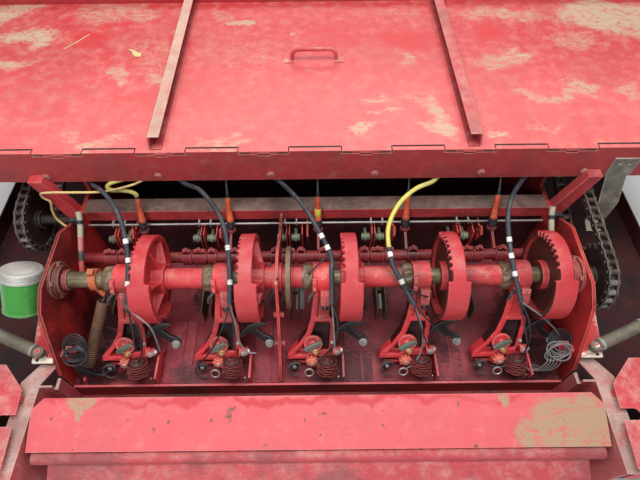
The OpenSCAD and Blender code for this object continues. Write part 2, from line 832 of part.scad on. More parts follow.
pin_c = [664, -398, 226];
strut_dir = [0.92, 0.36, 0.16];
cyl_l = 118;
cyl_r = 15;
rod_r = 5;
rod_l = 56;
eye_r = 9;
pivot_r = 6;

module strut_bracket(left) {
    side(left) color(red) difference() {
        union() {
            yz(wall_out, 50) polygon([[-412, 190], [-302, 226], [-302, 232], [-412, 196]]);
            yz(wall_out, 6) polygon([[-303, 228], [-303, 170], [-330, 150], [-411, 192]]);
            rod([pin_c[0], pin_c[1], 196], pin_c + [0, 0, 12], pivot_r);
            rod([pin_c[0], pin_c[1], 196], pin_c + [0, 0, -8.4], pivot_r + 3);
        }
        rod([wall_out + 38, -404, 220], [wall_out + 38, -404, 180], 5);
    }
}

module strut_frame() {
    translate(pin_c) rotate([0, acos(strut_dir[2] / norm(strut_dir)), atan2(strut_dir[1], strut_dir[0])])
        children();
}

module gas_cylinder(left) {
    side(left) color([0.5, 0.46, 0.4]) difference() {
        union() {
            strut_frame() translate([0, 0, 14]) cylinder(h = cyl_l, r = cyl_r);
            strut_frame() cylinder(h = 15, r = 8);
            translate(pin_c + [0, 0, -8]) cylinder(h = 16, r = eye_r + 3);
        }
        translate(pin_c + [0, 0, -20]) cylinder(h = 40, r = pivot_r + run_gap);
        strut_frame() translate([0, 0, 24]) cylinder(h = cyl_l, r = rod_r + run_gap);
    }
}

module gas_rod(left) {
    side(left) color(steel) difference() {
        union() {
            strut_frame() translate([0, 0, 34 + 60]) cylinder(h = cyl_l - 80 + rod_l, r = rod_r);
            strut_frame() translate([0, 0, 14 + cyl_l + rod_l]) rotate([90, 0, 0])
                translate([0, 0, -6]) cylinder(h = 12, r = eye_r);
        }
        strut_frame() translate([0, 0, 14 + cyl_l + rod_l]) rotate([90, 0, 0])
            translate([0, 0, -20]) cylinder(h = 40, r = 4);
    }
}

// Grease distributors with their looped lines

dist_w = 36;
dist_y = -378;
dist_z = 167;
view_tilt = 34.6;

module distributor(left) {
    side(left) {
        color(red) translate([half - dist_w, dist_y - 13, dist_z - 17]) cube([dist_w, 26, 34]);
        color(dark) for (i = [0:4])
            let (ring = 15 + 3.4 * i)
            translate([half - dist_w / 2 - 2 * i, dist_y, dist_z + 10]) rotate([view_tilt, 0, 0])
                translate([-ring / 4, ring - 10, 5 * i - 10])
                    rotate_extrude($fn = 40) translate([ring, 0]) circle(r = 2, $fn = 16);
    }
}

// Grease reservoir on the left, leaning back

res_low = [-716, -300, 262];
res_rot = [-36, 11, 0];
res_r = 47;

module reservoir() {
    color([0.37, 0.68, 0.33]) {
        translate(res_low) rotate(res_rot) {
            cylinder(h = 84, r1 = res_r - 3, r2 = res_r - 1);
            translate([0, 0, -10]) cylinder(h = 12, r = 28);
        }
        translate([-wall_out - 80, -301, 230]) cube([80, 28, 16]);
    }
}

module reservoir_cap() {
    color(steel) translate(res_low) rotate(res_rot) {
        translate([0, 0, 84]) cylinder(h = 26, r = res_r + 1);
        translate([0, 0, 110]) cylinder(h = 8, r1 = res_r + 1, r2 = res_r - 20);
    }
}

// Drive chains: two sprockets and one closed chain loop on each side

function pitch_r(n) = link_p / (2 * sin(180 / n));

small_c = [150, 303];
big_c = [-206, 233];
stub_r = 14;

// The left drive lies further out and further back
left_shift = [66, 200, 4];

module sprocket(n, h) {
    r = pitch_r(n);
    linear_extrude(h) polygon([for (i = [0:4 * n - 1])
        let (q = i % 4, a = (i - 0.5) * 90 / n + (q == 0 ? 1 : q == 3 ? -1 : 0) * 12 / n)
        polar(q == 0 || q == 3 ? r - 7.5 : r + 3, a)]);
}

// Chain centre line: points and headings around two sprocket circles
gap_v = small_c - big_c;
gap_l = norm(gap_v);
gap_a = atan2(gap_v[1], gap_v[0]);
r_big = pitch_r(big_n);
r_small = pitch_r(small_n);
wrap = asin((r_big - r_small) / gap_l);
run_l = gap_l * cos(wrap);
arc_big = r_big * (180 + 2 * wrap) * PI / 180;
arc_small = r_small * (180 - 2 * wrap) * PI / 180;
loop_l = 2 * run_l + arc_big + arc_small;
links = 2 * round(loop_l / link_p / 2);

// Point at distance s along the loop, offset outwards by o
function loop_at(s, o) =
    s < run_l ? let (a = gap_a + 90 - wrap, p = big_c + polar(r_big, a)) p + polar(s, gap_a - wrap) + polar(o, a)
    : s < run_l + arc_small ?
        let (a = gap_a + 90 - wrap - (s - run_l) / r_small * 180 / PI) small_c + polar(r_small + o, a)
    : s < 2 * run_l + arc_small ?
        let (a = gap_a - 90 + wrap, u = s - run_l - arc_small)
        small_c + polar(r_small + o, a) - polar(u, gap_a + wrap)
    : let (a = gap_a - 90 + wrap - (s - 2 * run_l - arc_small) / r_big * 180 / PI) big_c + polar(r_big + o, a);

module chain_plate(x0, t) {
    step = loop_l / links;
    yz(x0, t) difference() {
        polygon([for (i = [0:2 * links - 1]) loop_at(i * step / 2, i % 2 == 0 ? 10 : 6.5)]);
        polygon([for (i = [0:2 * links - 1]) loop_at(i * step / 2, i % 2 == 0 ? -10 : -6.5)]);
    }
}

module chain_drive(left) {
    x = wall_out + chain_off;
    step = loop_l / links;
    shift = left ? left_shift : [0, 0, 0];
    side(left) {
        color(dark) translate(shift) {
            chain_plate(x - 13, 4);
            chain_plate(x + 9, 4);
            for (i = [0:links - 1])
                let (p = loop_at(i * step, 0))
                translate([x - 12, p[0], p[1]]) rotate([0, 90, 0]) cylinder(h = 24, r = 7, $fn = 8);
        }
        color(dark_red) for (c = [[big_c, big_n], [small_c, small_n]])
            translate([0, shift[1] + c[0][0], shift[2] + c[0][1]]) {
                translate([x - 5 + shift[0], 0, 0]) rotate([90, 0, 90]) sprocket(c[1], 10);
                bar_x(x - 18 + shift[0], x + 14 + shift[0], 0, 0, stub_r + 12);
                bar_x(wall_out, x + 16 + shift[0], 0, 0, stub_r);
            }
    }
}

// Galvanised end bracket on the right

bracket_x = 742;

module end_bracket() {
    color(steel) translate([bracket_x, 0, 0]) {
        translate([0, -4, beam_low + 6]) difference() {
            cube([64, 4, 60]);
            for (x = [20, 44]) translate([x, -1, 44]) rotate([-90, 0, 0]) cylinder(h = 8, r = 5);
        }
        yz(4, 52) polygon([
            [-4, beam_low + 8], [0, beam_low + 8], [-36, beam_low - 60], [-36, beam_low - 140],
            [-66, beam_low - 152], [-68, beam_low - 148], [-40, beam_low - 136], [-40, beam_low - 60]
        ]);
    }
}

// Wrapped line bundles from the beam down to each knotter, with their branches
// Each route is a list of points; x counts from the knotter's middle

trunks = [
    [[-112, 18, 376], [-96, -4, 378], [-62, -36, 396], [-20, -84, 398], [10, -138, 385], [30, -208, 358],
     [36, -258, 342], [36, -316, 312]],
    [[-122, 18, 376], [-92, -6, 379], [-50, -42, 398], [0, -109, 397], [24, -168, 382], [36, -253, 345],
     [36, -316, 312]],
    [[-108, 18, 376], [-84, -8, 379], [-43, -78, 402], [-9, -129, 388], [34, -212, 358], [36, -258, 342],
     [36, -318, 308]],
    [[84, 18, 376], [62, -6, 380], [9, -48, 400], [-38, -98, 400], [-67, -162, 385], [-62, -239, 360],
     [-44, -271, 342], [-12, -322, 308]],
    [[74, 18, 376], [54, -6, 379], [7, -74, 405], [-15, -128, 396], [-20, -200, 372], [-14, -262, 344],
     [-2, -318, 310]]
];
line_end = [knot(nipple_x, face - nipple_l - 26, nipple_s), knot(nipple_x, face - nipple_l - 0.3, nipple_s)];
branches = [
    [concat([[36, -316, 312], [38, -352, 250], [40, -382, 200]], line_end),
     [[36, -316, 312], [52, -362, 262], [72, -372, 210], [78, -366, 178]]],
    [concat([[36, -316, 312], [38, -350, 256], [42, -380, 200]], line_end),
     [[36, -316, 312], [20, -350, 265], [-20, -372, 200], [-56, -384, 130]]],
    [concat([[36, -318, 308], [40, -352, 255], [42, -380, 200]], line_end),
     [[36, -318, 308], [54, -364, 256], [64, -376, 206], [70, -362, 176]]],
    [concat([[-12, -322, 308], [6, -354, 260], [30, -382, 202]], line_end),
     [[-12, -322, 308], [20, -356, 262], [60, -366, 214], [104, -350, 184]]],
    [concat([[-2, -318, 310], [12, -352, 262], [32, -382, 202]], line_end),
     [[-2, -318, 310], [54, -358, 262], [96, -368, 224], [108, -366, 200]]]
];

// Midpoints rounded off between the route's points
function smooth(p) = [for (i = [0:2 * (len(p) - 1)])
    i % 2 == 0 ? let (j = i / 2) (j == 0 || j == len(p) - 1) ? p[j] : (p[j - 1] + 6 * p[j] + p[j + 1]) / 8
    : (p[(i - 1) / 2] + p[(i + 1) / 2]) / 2];

function unit(v) = v / norm(v);
function tangent(p, i) = unit(p[min(i + 1, len(p) - 1)] - p[max(i - 1, 0)]);

// A tube swept along a route, closed at both ends
module tube_along(p, r, n) {
    m = len(p);
    up = [1, 0, 0];
    pts = [for (i = [0:m - 1])
        let (t = tangent(p, i), u = unit(cross(t, up)), v = cross(t, u))
        for (j = [0:n - 1]) p[i] + r * cos(j * 360 / n) * u + r * sin(j * 360 / n) * v];
    polyhedron(points = pts, faces = concat(
        [[for (j = [0:n - 1]) j]],
        [for (i = [0:m - 2], j = [0:n - 1])
            [i * n + j, (i + 1) * n + j, (i + 1) * n + (j + 1) % n, i * n + (j + 1) % n]],
        [[for (j = [0:n - 1]) (m - 1) * n + n - 1 - j]]
    ));
}

module line_bundles() {
    color([0.24, 0.29, 0.34]) for (k = [-last:last]) translate([k * pitch, 0, 0]) {
        tube_along(smooth(trunks[k + last]), bundle_r, 8);
        for (b = branches[k + last]) tube_along(smooth(b), line_r, 6);
    }
}

knotter_table();
front_rail();
front_sill();
apron();
apron_foot();
side_wall(true);  // side_wall_left
side_wall(false);  // side_wall_right
side_flange(true);  // side_flange_left
side_flange(false);  // side_flange_right
corner_panel(true);  // corner_panel_left
corner_panel(false);  // corner_panel_right
rear_rail();
back_plate();
guide_rod();
cross_beam();
hood_frame();
hood();
hood_ribs();
hood_handle();
braces();
knotter_shaft();
for (k = [-last:last]) {
    cam_disc(k);
    knotter_frame(k);
    knotter_head(k);
}
cross_tube();
tube_clamps();
nozzles();
twine_rollers();
twine_guides();
bearing(true);  // bearing_left
bearing(false);  // bearing_right
centre_support();
tension_spring();
spring_clamp();
strut_bracket(true);  // strut_bracket_left
strut_bracket(false);  // strut_bracket_right
gas_cylinder(true);  // gas_cylinder_left
gas_cylinder(false);  // gas_cylinder_right
gas_rod(true);  // gas_rod_left
gas_rod(false);  // gas_rod_right
distributor(true);  // distributor_left
distributor(false);  // distributor_right
reservoir();
reservoir_cap();
chain_drive(true);  // chain_drive_left
chain_drive(false);  // chain_drive_right
end_bracket();
line_bundles();
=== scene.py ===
import json
import math
import random

import bmesh
import bpy
from mathutils import Matrix, Vector

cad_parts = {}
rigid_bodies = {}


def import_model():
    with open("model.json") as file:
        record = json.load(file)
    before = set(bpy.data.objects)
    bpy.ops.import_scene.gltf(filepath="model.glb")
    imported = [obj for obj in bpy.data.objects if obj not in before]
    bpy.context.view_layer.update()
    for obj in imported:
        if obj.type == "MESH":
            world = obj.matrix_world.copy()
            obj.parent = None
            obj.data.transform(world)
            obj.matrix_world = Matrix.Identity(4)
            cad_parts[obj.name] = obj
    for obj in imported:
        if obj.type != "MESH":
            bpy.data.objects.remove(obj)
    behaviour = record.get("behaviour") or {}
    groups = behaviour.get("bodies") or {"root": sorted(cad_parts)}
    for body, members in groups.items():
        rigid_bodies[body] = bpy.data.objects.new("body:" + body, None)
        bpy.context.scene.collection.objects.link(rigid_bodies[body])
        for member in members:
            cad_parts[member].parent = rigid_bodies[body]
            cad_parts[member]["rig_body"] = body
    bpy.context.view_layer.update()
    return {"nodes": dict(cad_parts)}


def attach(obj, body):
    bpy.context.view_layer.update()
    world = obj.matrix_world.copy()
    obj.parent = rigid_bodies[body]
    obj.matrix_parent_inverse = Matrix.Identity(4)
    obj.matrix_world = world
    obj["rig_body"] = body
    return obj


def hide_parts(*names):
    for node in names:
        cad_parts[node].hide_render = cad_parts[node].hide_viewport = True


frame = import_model()
scene = bpy.context.scene
scene.view_settings.view_transform = "Standard"

# ---- Camera ----
# It stands just in front of the bay, 1.3 m up, and looks down into it. The frame is
# 640 by 480 and its middle line lies four pixels beside the bay's.

frame_width, beside_middle = 640, 4
eye, tipped_up, rolled = (0, -0.8332, 1.3195), math.radians(34.6), -0.011
shot = bpy.data.cameras.new("bay_shot")
shot.lens = 27
shot.sensor_width = 36
shot.shift_x = beside_middle / frame_width
camera = bpy.data.objects.new("bay_camera", shot)
scene.collection.objects.link(camera)
camera.matrix_world = (
    Matrix.Translation(eye) @ Matrix.Rotation(tipped_up, 4, "X") @ Matrix.Rotation(rolled, 4, "Z")
)
scene.camera = camera

# ---- Floor and lights ----
# A pale floor, a wide softbox over the bay, a lower one behind the operator and
# one behind the hood, which gives the sheet its soft sheen.


def add(tree, kind, sockets=None, **settings):
    """Puts a shader node in the tree; a socket's value may be another node's output."""
    node = tree.nodes.new("ShaderNode" + kind)
    for name, value in settings.items():
        setattr(node, name, value)
    for key, value in (sockets or {}).items():
        if isinstance(value, bpy.types.NodeSocket):
            tree.links.new(value, node.inputs[key])
        else:
            node.inputs[key].default_value = value
    return node


def rgb(r, g, b):
    """A colour as read on a screen, 0 to 255, in the linear values that shaders take."""
    return tuple(
        c / 3294.6 if c <= 10 else ((c / 255 + 0.055) / 1.055) ** 2.4 for c in (r, g, b)
    ) + (1.0,)


def clear_tree(owner):
    owner.use_nodes = True
    owner.node_tree.nodes.clear()
    return owner.node_tree


studio = bpy.data.worlds.new("studio")
scene.world = studio
tree = clear_tree(studio)
rays = add(tree, "LightPath")
glow = add(tree, "Background", {"Color": (1, 1, 1, 1), "Strength": 1.0})
fill = add(tree, "Background", {"Color": (0.93, 0.96, 1, 1), "Strength": 0.30})
seen = rays.outputs["Is Camera Ray"]
pick = add(tree, "MixShader", {0: seen, 1: fill.outputs[0], 2: glow.outputs[0]})
add(tree, "OutputWorld", {"Surface": pick.outputs[0]})

for name, place, aim, width, height, watts in (
    ("overhead_softbox", (0.0, -0.35, 2.5), (0, -0.2, 0.3), 2.4, 1.1, 62),
    ("front_softbox", (-0.8, -2.6, 1.9), (0, -0.2, 0.2), 1.8, 1.2, 34),
    ("rear_softbox", (0.2, 2.6, 2.4), (0, 0.1, 0.4), 2.6, 1.0, 40),
):
    lamp = bpy.data.lights.new(name, "AREA")
    lamp.shape = "RECTANGLE"
    lamp.size, lamp.size_y, lamp.energy = width, height, watts
    box = bpy.data.objects.new(name, lamp)
    scene.collection.objects.link(box)
    box.location = place
    box.rotation_euler = (Vector(aim) - Vector(place)).to_track_quat("-Z", "Y").to_euler()

floor_half, floor_height = 6, -0.0006
floor_material = bpy.data.materials.new("pale_floor")
tree = clear_tree(floor_material)
floor_grain = add(tree, "TexNoise", {"Scale": 3.0, "Detail": 2.0})
floor_tone = add(
    tree, "Mix", {0: floor_grain.outputs[0], 6: rgb(226, 226, 223), 7: rgb(234, 234, 232)},
    data_type="RGBA",
)
floor_shader = add(tree, "BsdfPrincipled", {"Base Color": floor_tone.outputs[2], "Roughness": 0.8})
add(tree, "OutputMaterial", {"Surface": floor_shader.outputs[0]})
floor_mesh = bpy.data.meshes.new("floor")
corners = [(x * floor_half, y * floor_half, floor_height)
           for x, y in ((-1, -1), (1, -1), (1, 1), (-1, 1))]
floor_mesh.from_pydata(corners, [], [(0, 1, 2, 3)])
floor_mesh.materials.append(floor_material)
floor = bpy.data.objects.new("floor", floor_mesh)
scene.collection.objects.link(floor)

# ---- Table of the bay ----
# A flat steel sheet with five needle slots and the foot blocks of the knotters.
# Dark red paint under years of chaff dust and grease, kept dark as painted shade where the hood
# keeps the light off.


def calc(tree, operation, a, b=0.0):
    return add(tree, "Math", {0: a, 1: b}, operation=operation).outputs[0]


def times(tree, a, b):
    return calc(tree, "MULTIPLY", a, b)


def minus(tree, a, b):
    return calc(tree, "SUBTRACT", a, b)


def total(tree, *terms, clamp=False):
    """The sum of some values, each with its weight."""
    whole = 0.0
    for value, weight in terms:
        step = add(tree, "Math", {0: value, 1: weight, 2: whole}, operation="MULTIPLY_ADD")
        whole = step.outputs[0]
    step.use_clamp = clamp
    return whole


def mix(tree, factor, a, b):
    return add(tree, "Mix", {0: factor, 6: a, 7: b}, data_type="RGBA").outputs[2]


def ramp(tree, value, low, high):
    """0 below low, 1 above high, with a soft turn between them."""
    return add(
        tree, "MapRange", {"Value": value, "From Min": low, "From Max": high},
        interpolation_type="SMOOTHSTEP",
    ).outputs[0]


def noise(tree, where, scale, detail, rough):
    return add(
        tree, "TexNoise", {"Vector": where, "Scale": scale, "Detail": detail, "Roughness": rough}
    ).outputs[0]


def stretched(tree, where, scales, detail, rough, turn=0.0, shift=(0, 0, 0)):
    """Noise drawn out along an axis, like streaks, wipes and scratches."""
    placed = add(tree, "Mapping", {0: where, 1: shift, 2: (0, 0, turn), 3: scales})
    return noise(tree, placed.outputs[0], 1.0, detail, rough)


def shader_group(name, inputs, outputs):
    """An empty shader group with its sockets; gives the tree and both ends of it."""
    tree = bpy.data.node_groups.new(name, "ShaderNodeTree")
    for label, kind, value in inputs:
        tree.interface.new_socket(
            label, in_out="INPUT", socket_type="NodeSocket" + kind
        ).default_value = value
    for label, kind in outputs:
        tree.interface.new_socket(label, in_out="OUTPUT", socket_type="NodeSocket" + kind)
    return tree, tree.nodes.new("NodeGroupInput").outputs, tree.nodes.new("NodeGroupOutput").inputs


def surface(tree, colour, rough, height, bump, metallic=0.0):
    """The surface of a finish, with its small relief."""
    relief = add(tree, "Bump", {"Strength": bump, "Distance": 0.0012, "Height": height})
    shader = add(tree, "BsdfPrincipled", {
        "Base Color": colour, "Roughness": rough, "Metallic": metallic, "Normal": relief.outputs[0],
    })
    add(tree, "OutputMaterial", {"Surface": shader.outputs[0]})


# Old machine paint: sun-faded clouds, dust on what faces up, chipped edges, grime in between
old_paint, given, made = shader_group(
    "old_paint",
    [
        ("Paint", "Color", rgb(190, 50, 56)), ("Faded", "Color", rgb(217, 90, 95)),
        ("Dust", "Color", rgb(200, 178, 154)), ("Bare", "Color", rgb(226, 160, 154)),
        ("Grime", "Color", rgb(52, 34, 28)),
        ("Fading", "Float", 0.5), ("Dusting", "Float", 0.5), ("Wear", "Float", 0.5),
        ("Soiling", "Float", 0.3), ("Gloss", "Float", 0.5),
    ],
    [("Color", "Color"), ("Roughness", "Float"), ("Height", "Float")],
)
tree = old_paint
where = add(tree, "TexCoord")
here = where.outputs["Object"]
upward = add(tree, "SeparateXYZ", {0: where.outputs["Normal"]}).outputs["Z"]
clouds = noise(tree, here, 7.0, 4.0, 0.55)
patches = noise(tree, here, 31.0, 6.0, 0.62)
speckle = noise(tree, here, 260.0, 3.0, 0.6)
streaks = stretched(tree, here, (60, 240, 60), 4.0, 0.6)
fade = ramp(tree, total(tree, (clouds, 0.72), (patches, 0.28)), 0.32, 0.70)
colour = mix(tree, times(tree, fade, given["Fading"]), given["Paint"], given["Faded"])
settled = total(
    tree, (calc(tree, "MAXIMUM", upward, 0.0), 0.3), (patches, 0.75), (speckle, 0.42),
    (given["Dusting"], 0.45),
)
dust = ramp(tree, settled, 0.92, 1.34)
colour = mix(tree, times(tree, dust, 0.85), colour, given["Dust"])
soil = ramp(tree, total(tree, (clouds, 1), (streaks, 0.35)), 0.60, 0.82)
soil = times(tree, soil, given["Soiling"])
colour = mix(tree, soil, colour, given["Grime"])
rounded = add(tree, "Bevel", {"Radius": 0.0026}, samples=4)
flat = add(tree, "NewGeometry")
turn = add(tree, "VectorMath", {0: rounded.outputs[0], 1: flat.outputs["Normal"]},
           operation="DOT_PRODUCT").outputs["Value"]
edge = times(tree, minus(tree, 1.0, turn), 9.0)
edge = times(tree, edge, total(tree, (patches, 1), (0.25, 1)))
chip = times(tree, ramp(tree, edge, 0.25, 0.95), given["Wear"])
tree.links.new(mix(tree, chip, colour, given["Bare"]), made["Color"])
shine = total(
    tree, (0.92, 1), (given["Gloss"], -0.75), (dust, 0.35), (speckle, 0.12), (soil, -0.18),
    clamp=True,
)
tree.links.new(shine, made["Roughness"])
tree.links.new(total(tree, (speckle, 0.5), (patches, 0.6), (dust, 0.25)), made["Height"])
level_names = ("Fading", "Dusting", "Wear", "Soiling", "Gloss")


def painted(name, paint, faded, dust, bare, levels, grime=(52, 34, 28), bump=0.25, metallic=0.0):
    """A painted or oiled finish; levels are fading, dusting, wear, soiling and gloss."""
    material = bpy.data.materials.new(name)
    tree = clear_tree(material)
    coat = add(tree, "Group", {
        "Paint": rgb(*paint), "Faded": rgb(*faded), "Dust": rgb(*dust), "Bare": rgb(*bare),
        "Grime": rgb(*grime), **dict(zip(level_names, levels)),
    }, node_tree=old_paint)
    surface(tree, *(coat.outputs[n] for n in ("Color", "Roughness", "Height")), bump, metallic)
    return material


def fit(piece, slot, *nodes, body=None):
    """Puts a finished piece on the machine: it rides where the solids that it stands for ride."""
    if piece.name not in scene.collection.objects:
        scene.collection.objects.link(piece)
    if nodes:
        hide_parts(*nodes)
        body = body or frame["nodes"][nodes[0]]["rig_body"]
    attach(piece, body or "root")
    return piece


def smooth_sides(mesh, angle=35):
    mesh.shade_smooth()
    mesh.set_sharp_from_angle(angle=math.radians(angle))


def copy_of(node, name=None):
    """A cleaned copy of a solid: one vertex at each corner and one face on each flat."""
    mesh = frame["nodes"][node].data.copy()
    if "custom_normal" in mesh.attributes:
        mesh.attributes.remove(mesh.attributes["custom_normal"])
    bm = bmesh.new()
    bm.from_mesh(mesh)
    bmesh.ops.remove_doubles(bm, verts=bm.verts, dist=2e-6)
    bmesh.ops.dissolve_limit(bm, angle_limit=math.radians(0.6), verts=bm.verts, edges=bm.edges)
    bm.to_mesh(mesh)
    bm.free()
    mesh.materials.clear()
    return bpy.data.objects.new(name or node + "_piece", mesh)


def give(mesh, finishes, choose=None):
    """Gives a mesh its finishes; choose picks one of them by a face's middle and normal."""
    for finish in finishes:
        mesh.materials.append(finish)
    if choose:
        for face in mesh.polygons:
            face.material_index = choose(face.center, face.normal)


def dress(node, slot, *finishes, edge=0.0009, choose=None):
    """A node's own shape with its edges broken."""
    piece = copy_of(node)
    give(piece.data, finishes, choose)
    smooth_sides(piece.data)
    if edge:
        rounding = piece.modifiers.new("broken_edges", "BEVEL")
        rounding.width = edge
        rounding.segments = 2
        rounding.limit_method = "ANGLE"
        rounding.angle_limit = math.radians(38)
        rounding.harden_normals = True
    return fit(piece, slot, node)


# A soft patch: 1 at its middle, 0 at its rim, both measured in warped space
soft_patch, given, made = shader_group(
    "soft_patch",
    [("Place", "Vector", (0, 0, 0)), ("Middle", "Vector", (0, 0, 0)),
     ("Reach", "Vector", (1, 1, 1)), ("Strength", "Float", 1.0)],
    [("Mask", "Float")],
)
tree = soft_patch
away = add(tree, "VectorMath", {0: given["Place"], 1: given["Middle"]}, operation="SUBTRACT")
away = add(tree, "VectorMath", {0: away.outputs[0], 1: given["Reach"]}, operation="DIVIDE")
away = add(tree, "VectorMath", {0: away.outputs[0]}, operation="LENGTH").outputs["Value"]
mask = ramp(tree, minus(tree, 1.35, away), 0.0, 1.0)
tree.links.new(times(tree, mask, given["Strength"]), made["Mask"])


def patch_mask(tree, rows, warp, seed=0.0):
    """The union of soft patches; a row is x, y, half width, half depth and strength, in mm."""
    here = add(tree, "TexCoord").outputs["Object"]
    moved = add(tree, "Mapping", {0: here, 1: (seed, seed, 0), 3: (9, 9, 9)}).outputs[0]
    drift = add(tree, "TexNoise", {"Vector": moved, "Scale": 1.0, "Detail": 4.0, "Roughness": 0.6})
    drift = add(tree, "VectorMath", {0: drift.outputs["Color"], 1: (0.5, 0.5, 0.5)},
                operation="SUBTRACT").outputs[0]
    drift = add(tree, "VectorMath", {0: drift, "Scale": warp * 4}, operation="SCALE").outputs[0]
    place = add(tree, "VectorMath", {0: here, 1: drift}, operation="ADD").outputs[0]
    mask = None
    for x, y, wide, deep, strength in rows:
        one = add(tree, "Group", {
            "Place": place, "Middle": (x / 1000, y / 1000, 0),
            "Reach": (wide / 1000, deep / 1000, 1000.0), "Strength": strength,
        }, node_tree=soft_patch).outputs[0]
        mask = one if mask is None else calc(tree, "MAXIMUM", mask, one)
    return mask


def smeared(name, paint, faded, smears, cleans, smear_colour, deep_red, warp, pink=None,
            gloss=0.5, streak=(42, 120, 60), cover=0.92, marks=0.0, chips=(), **wear):
    """A painted sheet with listed smears and rubbed clean places; on the table the smears are
    painted shade, elsewhere mostly dust.
    """
    material = bpy.data.materials.new(name)
    tree = clear_tree(material)
    here = add(tree, "TexCoord").outputs["Object"]
    base = paint
    # When pink is given it is a painted sheen: the paint turns paler pink towards low y, by the
    # hood's hinge
    if pink:
        y = add(tree, "SeparateXYZ", {0: here}).outputs["Y"]
        base = mix(tree, ramp(tree, y, 0.46, 0.10), paint, pink)
    coat = add(tree, "Group", {"Paint": base, "Faded": faded, "Gloss": gloss, **wear},
               node_tree=old_paint)
    clean = times(tree, patch_mask(tree, cleans, 0.03, 3.0), 0.8)
    colour = mix(tree, clean, coat.outputs["Color"], deep_red)
    mask = patch_mask(tree, smears, warp)
    rubbed = total(
        tree, (stretched(tree, here, streak, 6.0, 0.68, 0.5), 0.62),
        (stretched(tree, here, (30, 210, 60), 5.0, 0.6, -0.35), 0.38),
    )
    broken = total(tree, (mask, 1), (minus(tree, rubbed, 0.5), 2.2))
    broken = times(tree, ramp(tree, broken, 0.22, 1.05), ramp(tree, mask, 0.0, 0.3))
    # Fingers and boots have drawn thin winding lines in and around the dust
    winding = minus(tree, stretched(tree, here, (16, 30, 16), 2.5, 0.55), 0.5)
    line = ramp(tree, calc(tree, "ABSOLUTE", winding), 0.004, 0.030)
    broken = times(tree, broken, total(tree, (1, 0.30), (line, 0.70)))
    other = minus(tree, stretched(tree, here, (22, 40, 22), 3.0, 0.6, shift=(5, 2, 0)), 0.5)
    pale = minus(tree, 1.0, ramp(tree, calc(tree, "ABSOLUTE", other), 0.004, 0.024))
    pale = times(tree, pale, ramp(tree, mask, 0.0, 0.5))
    broken = calc(tree, "MAXIMUM", broken, times(tree, pale, marks))
    colour = mix(tree, times(tree, broken, cover), colour, smear_colour)
    if chips:
        grain = minus(tree, noise(tree, here, 150.0, 4.0, 0.6), 0.5)
        flake = total(tree, (patch_mask(tree, chips, 0.003, 7.0), 1), (grain, 4))
        flake = times(tree, ramp(tree, flake, 0.62, 0.86), 0.85)
        colour = mix(tree, flake, colour, rgb(92, 78, 66))
    rough = total(tree, (coat.outputs["Roughness"], 1), (broken, 0.3), clamp=True)
    height = total(tree, (coat.outputs["Height"], 1), (broken, 0.5))
    surface(tree, colour, rough, height, 0.3)
    return material


# Near-black smears: painted shade across the back of the table, under the hood; the table is also
# darker at both ends, behind the needle tongues and along the front. Feet and twine have rubbed it
# pink in front
table_paint = smeared(
    "table_paint", rgb(122, 32, 42), rgb(152, 58, 66),
    [(-600, -300, 92, 190, 1.3), (600, -300, 110, 190, 1.6), (-540, -400, 60, 26, 0.9),
     (0, 300, 900, 330, 1.4), (-350, -180, 26, 60, 0.9), (-110, -180, 26, 60, 0.9),
     (130, -180, 26, 60, 0.9), (370, -180, 26, 60, 0.9), (-420, -392, 60, 20, 0.7),
     (-180, -392, 60, 20, 0.7), (60, -392, 60, 20, 0.7), (300, -392, 50, 20, 0.7)],
    [(-130, -380, 60, 40, 0.7), (110, -380, 60, 44, 0.8), (345, -360, 60, 70, 1.0),
     (-370, -370, 40, 40, 0.5)],
    rgb(30, 16, 18), rgb(176, 76, 84), gloss=0.35, warp=0.02, streak=(50, 50, 60), cover=0.86,
    Dust=rgb(140, 96, 92), Bare=rgb(190, 96, 96), Grime=rgb(36, 18, 20), Fading=0.7,
    Dusting=0.12, Wear=0.6, Soiling=0.6,
)
dress("knotter_table", "shade_red_paint", table_paint)


def slab(bm, low, high, soften=0.0008):
    """A small plate between two corners, in mm, with its edges broken."""
    size = [(b - a) / 1000 for a, b in zip(low, high)]
    middle = [(b + a) / 2000 for a, b in zip(low, high)]
    made = bmesh.ops.create_cube(
        bm, size=1.0, matrix=Matrix.Translation(middle) @ Matrix.Diagonal((*size, 1.0))
    )["verts"]
    rim = {e for v in made for e in v.link_edges}
    bmesh.ops.bevel(bm, geom=list(rim), offset=soften, segments=2, profile=0.6, affect="EDGES")


def piece_from(bm, name, slot, *finishes, nodes=(), body="root", angle=35):
    """Turns a finished bmesh into a piece of the machine."""
    mesh = bpy.data.meshes.new(name)
    bmesh.ops.recalc_face_normals(bm, faces=bm.faces)
    bm.to_mesh(mesh)
    bm.free()
    give(mesh, finishes)
    smooth_sides(mesh, angle)
    return fit(bpy.data.objects.new(name, mesh), slot, *nodes, body=body)


knotters = range(1, 6)
knotter_pitch = 0.24


def knotter_x(number):
    return (number - 3) * knotter_pitch


